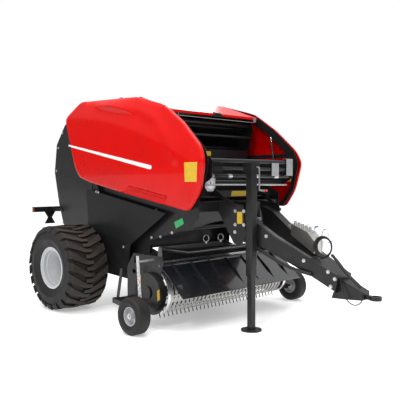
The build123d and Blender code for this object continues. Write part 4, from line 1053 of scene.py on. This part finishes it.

# %% [markdown]
# The near hose has a plastic spiral wound round it against rubbing. Rings set closely along its line
# read as that spiral, so a node tree puts one ring at each step of the hose's own curve.

# %% Spiral guard
ring_sizes = {"Ring": 0.0152, "Wire": 0.0022, "Step": 0.0105}
ring_tree, ring_in, ring_out = tree_inputs("rings on a line", ring_sizes)
spaced = step(ring_tree, "GeometryNodeResampleCurve",
              {"Curve": ring_in["Geometry"], "Length": ring_in["Step"]}, {"mode": "LENGTH"})
round_line = step(ring_tree, "GeometryNodeCurvePrimitiveCircle",
                  {"Resolution": 20, "Radius": ring_in["Ring"]})
wire = step(ring_tree, "GeometryNodeCurvePrimitiveCircle", {"Resolution": 6, "Radius": ring_in["Wire"]})
ring = step(ring_tree, "GeometryNodeCurveToMesh", {"Curve": round_line[0], "Profile Curve": wire[0]})
along = step(ring_tree, "GeometryNodeInputTangent", {})
facing = step(ring_tree, "FunctionNodeAlignRotationToVector", {"Vector": along[0]}, {"axis": "Z"})
spread(ring_tree, spaced[0], ring[0], facing[0], ring_in["Finish"], ring_out)

feed_line = feed_hose.data.copy()
feed_line.bevel_depth = 0
spiral_guard = grown("spiral_guard", feed_line, ring_tree, ring_sizes, "chassis",
                     black_plastic)
for piece, _, places, length, wide, lay in cords:
    at(*places[0])
print("declared", len(cords), "cords")

# %% [markdown]
# A studio: a wide pale floor that runs out of sight, and a surround that the camera sees as plain
# white, while it lights the machine more from above. One large soft light hangs overhead, a smaller
# one stands in front at the right, and one behind at the left.

# %% Floor and lights
floor_finish = Finish("studio_floor")
floor_cloud = floor_finish.noise(0.8, 3.0)
floor_finish.set(
    Base_Color=floor_finish.blend(floor_cloud.ramp(0.3, 0.7), (0.90, 0.90, 0.90), (0.87, 0.87, 0.87)),
    Roughness=floor_cloud.ramp(0.3, 0.7, 0.55, 0.65),
    Emission_Color=(1.0, 1.0, 1.0),
    Emission_Strength=0.34,
)
floor_mesh = bpy.data.meshes.new("studio_floor")
reach = 60.0
floor_mesh.from_pydata([(reach * a, reach * b, 0) for a, b in ((-1, -1), (1, -1), (1, 1), (-1, 1))],
                       [], [(0, 1, 2, 3)])
floor_mesh.materials.append(floor_finish.material)
floor = bpy.data.objects.new("studio_floor", floor_mesh)
collection.objects.link(floor)

world = bpy.data.worlds.new("studio")
world.use_nodes = True
sky = world.node_tree
backdrop = sky.nodes["Background"]
backdrop.inputs["Color"].default_value = (1, 1, 1, 1)
backdrop.inputs["Strength"].default_value = 1.02
way = step(sky, "ShaderNodeTexCoord", {})
up = step(sky, "ShaderNodeSeparateXYZ", {0: way["Generated"]})
fade = step(sky, "ShaderNodeMapRange",
            {"Value": up["Z"], "From Min": 0.04, "From Max": 0.62, "To Min": 0.10, "To Max": 1.05})
around = step(sky, "ShaderNodeBackground", {"Color": (1, 1, 1, 1), "Strength": fade[0]})
seen = step(sky, "ShaderNodeLightPath", {})
mix = step(sky, "ShaderNodeMixShader", {0: seen["Is Camera Ray"], 1: around[0], 2: backdrop.outputs[0]})
sky.links.new(mix[0], sky.nodes["World Output"].inputs["Surface"])
scene.world = world


def softbox(name, place, target, size, power):
    """A square light that faces a target."""
    data = bpy.data.lights.new(name, "AREA")
    data.shape = "SQUARE"
    data.size = size
    data.energy = power
    lamp = bpy.data.objects.new(name, data)
    lamp.location = place
    lamp.rotation_euler = (Vector(target) - Vector(place)).to_track_quat("-Z", "Y").to_euler()
    collection.objects.link(lamp)


softbox("overhead", (0.4, -0.8, 6.5), (0, 0, 0.8), 5.0, 330)
softbox("key", (3.2, -5.6, 5.4), (0.2, 0, 1.6), 1.3, 150)
softbox("rim_light", (-5.0, 4.0, 4.0), (0, 0, 1.2), 2.5, 110)
print("studio with", len(bpy.data.lights), "lights")
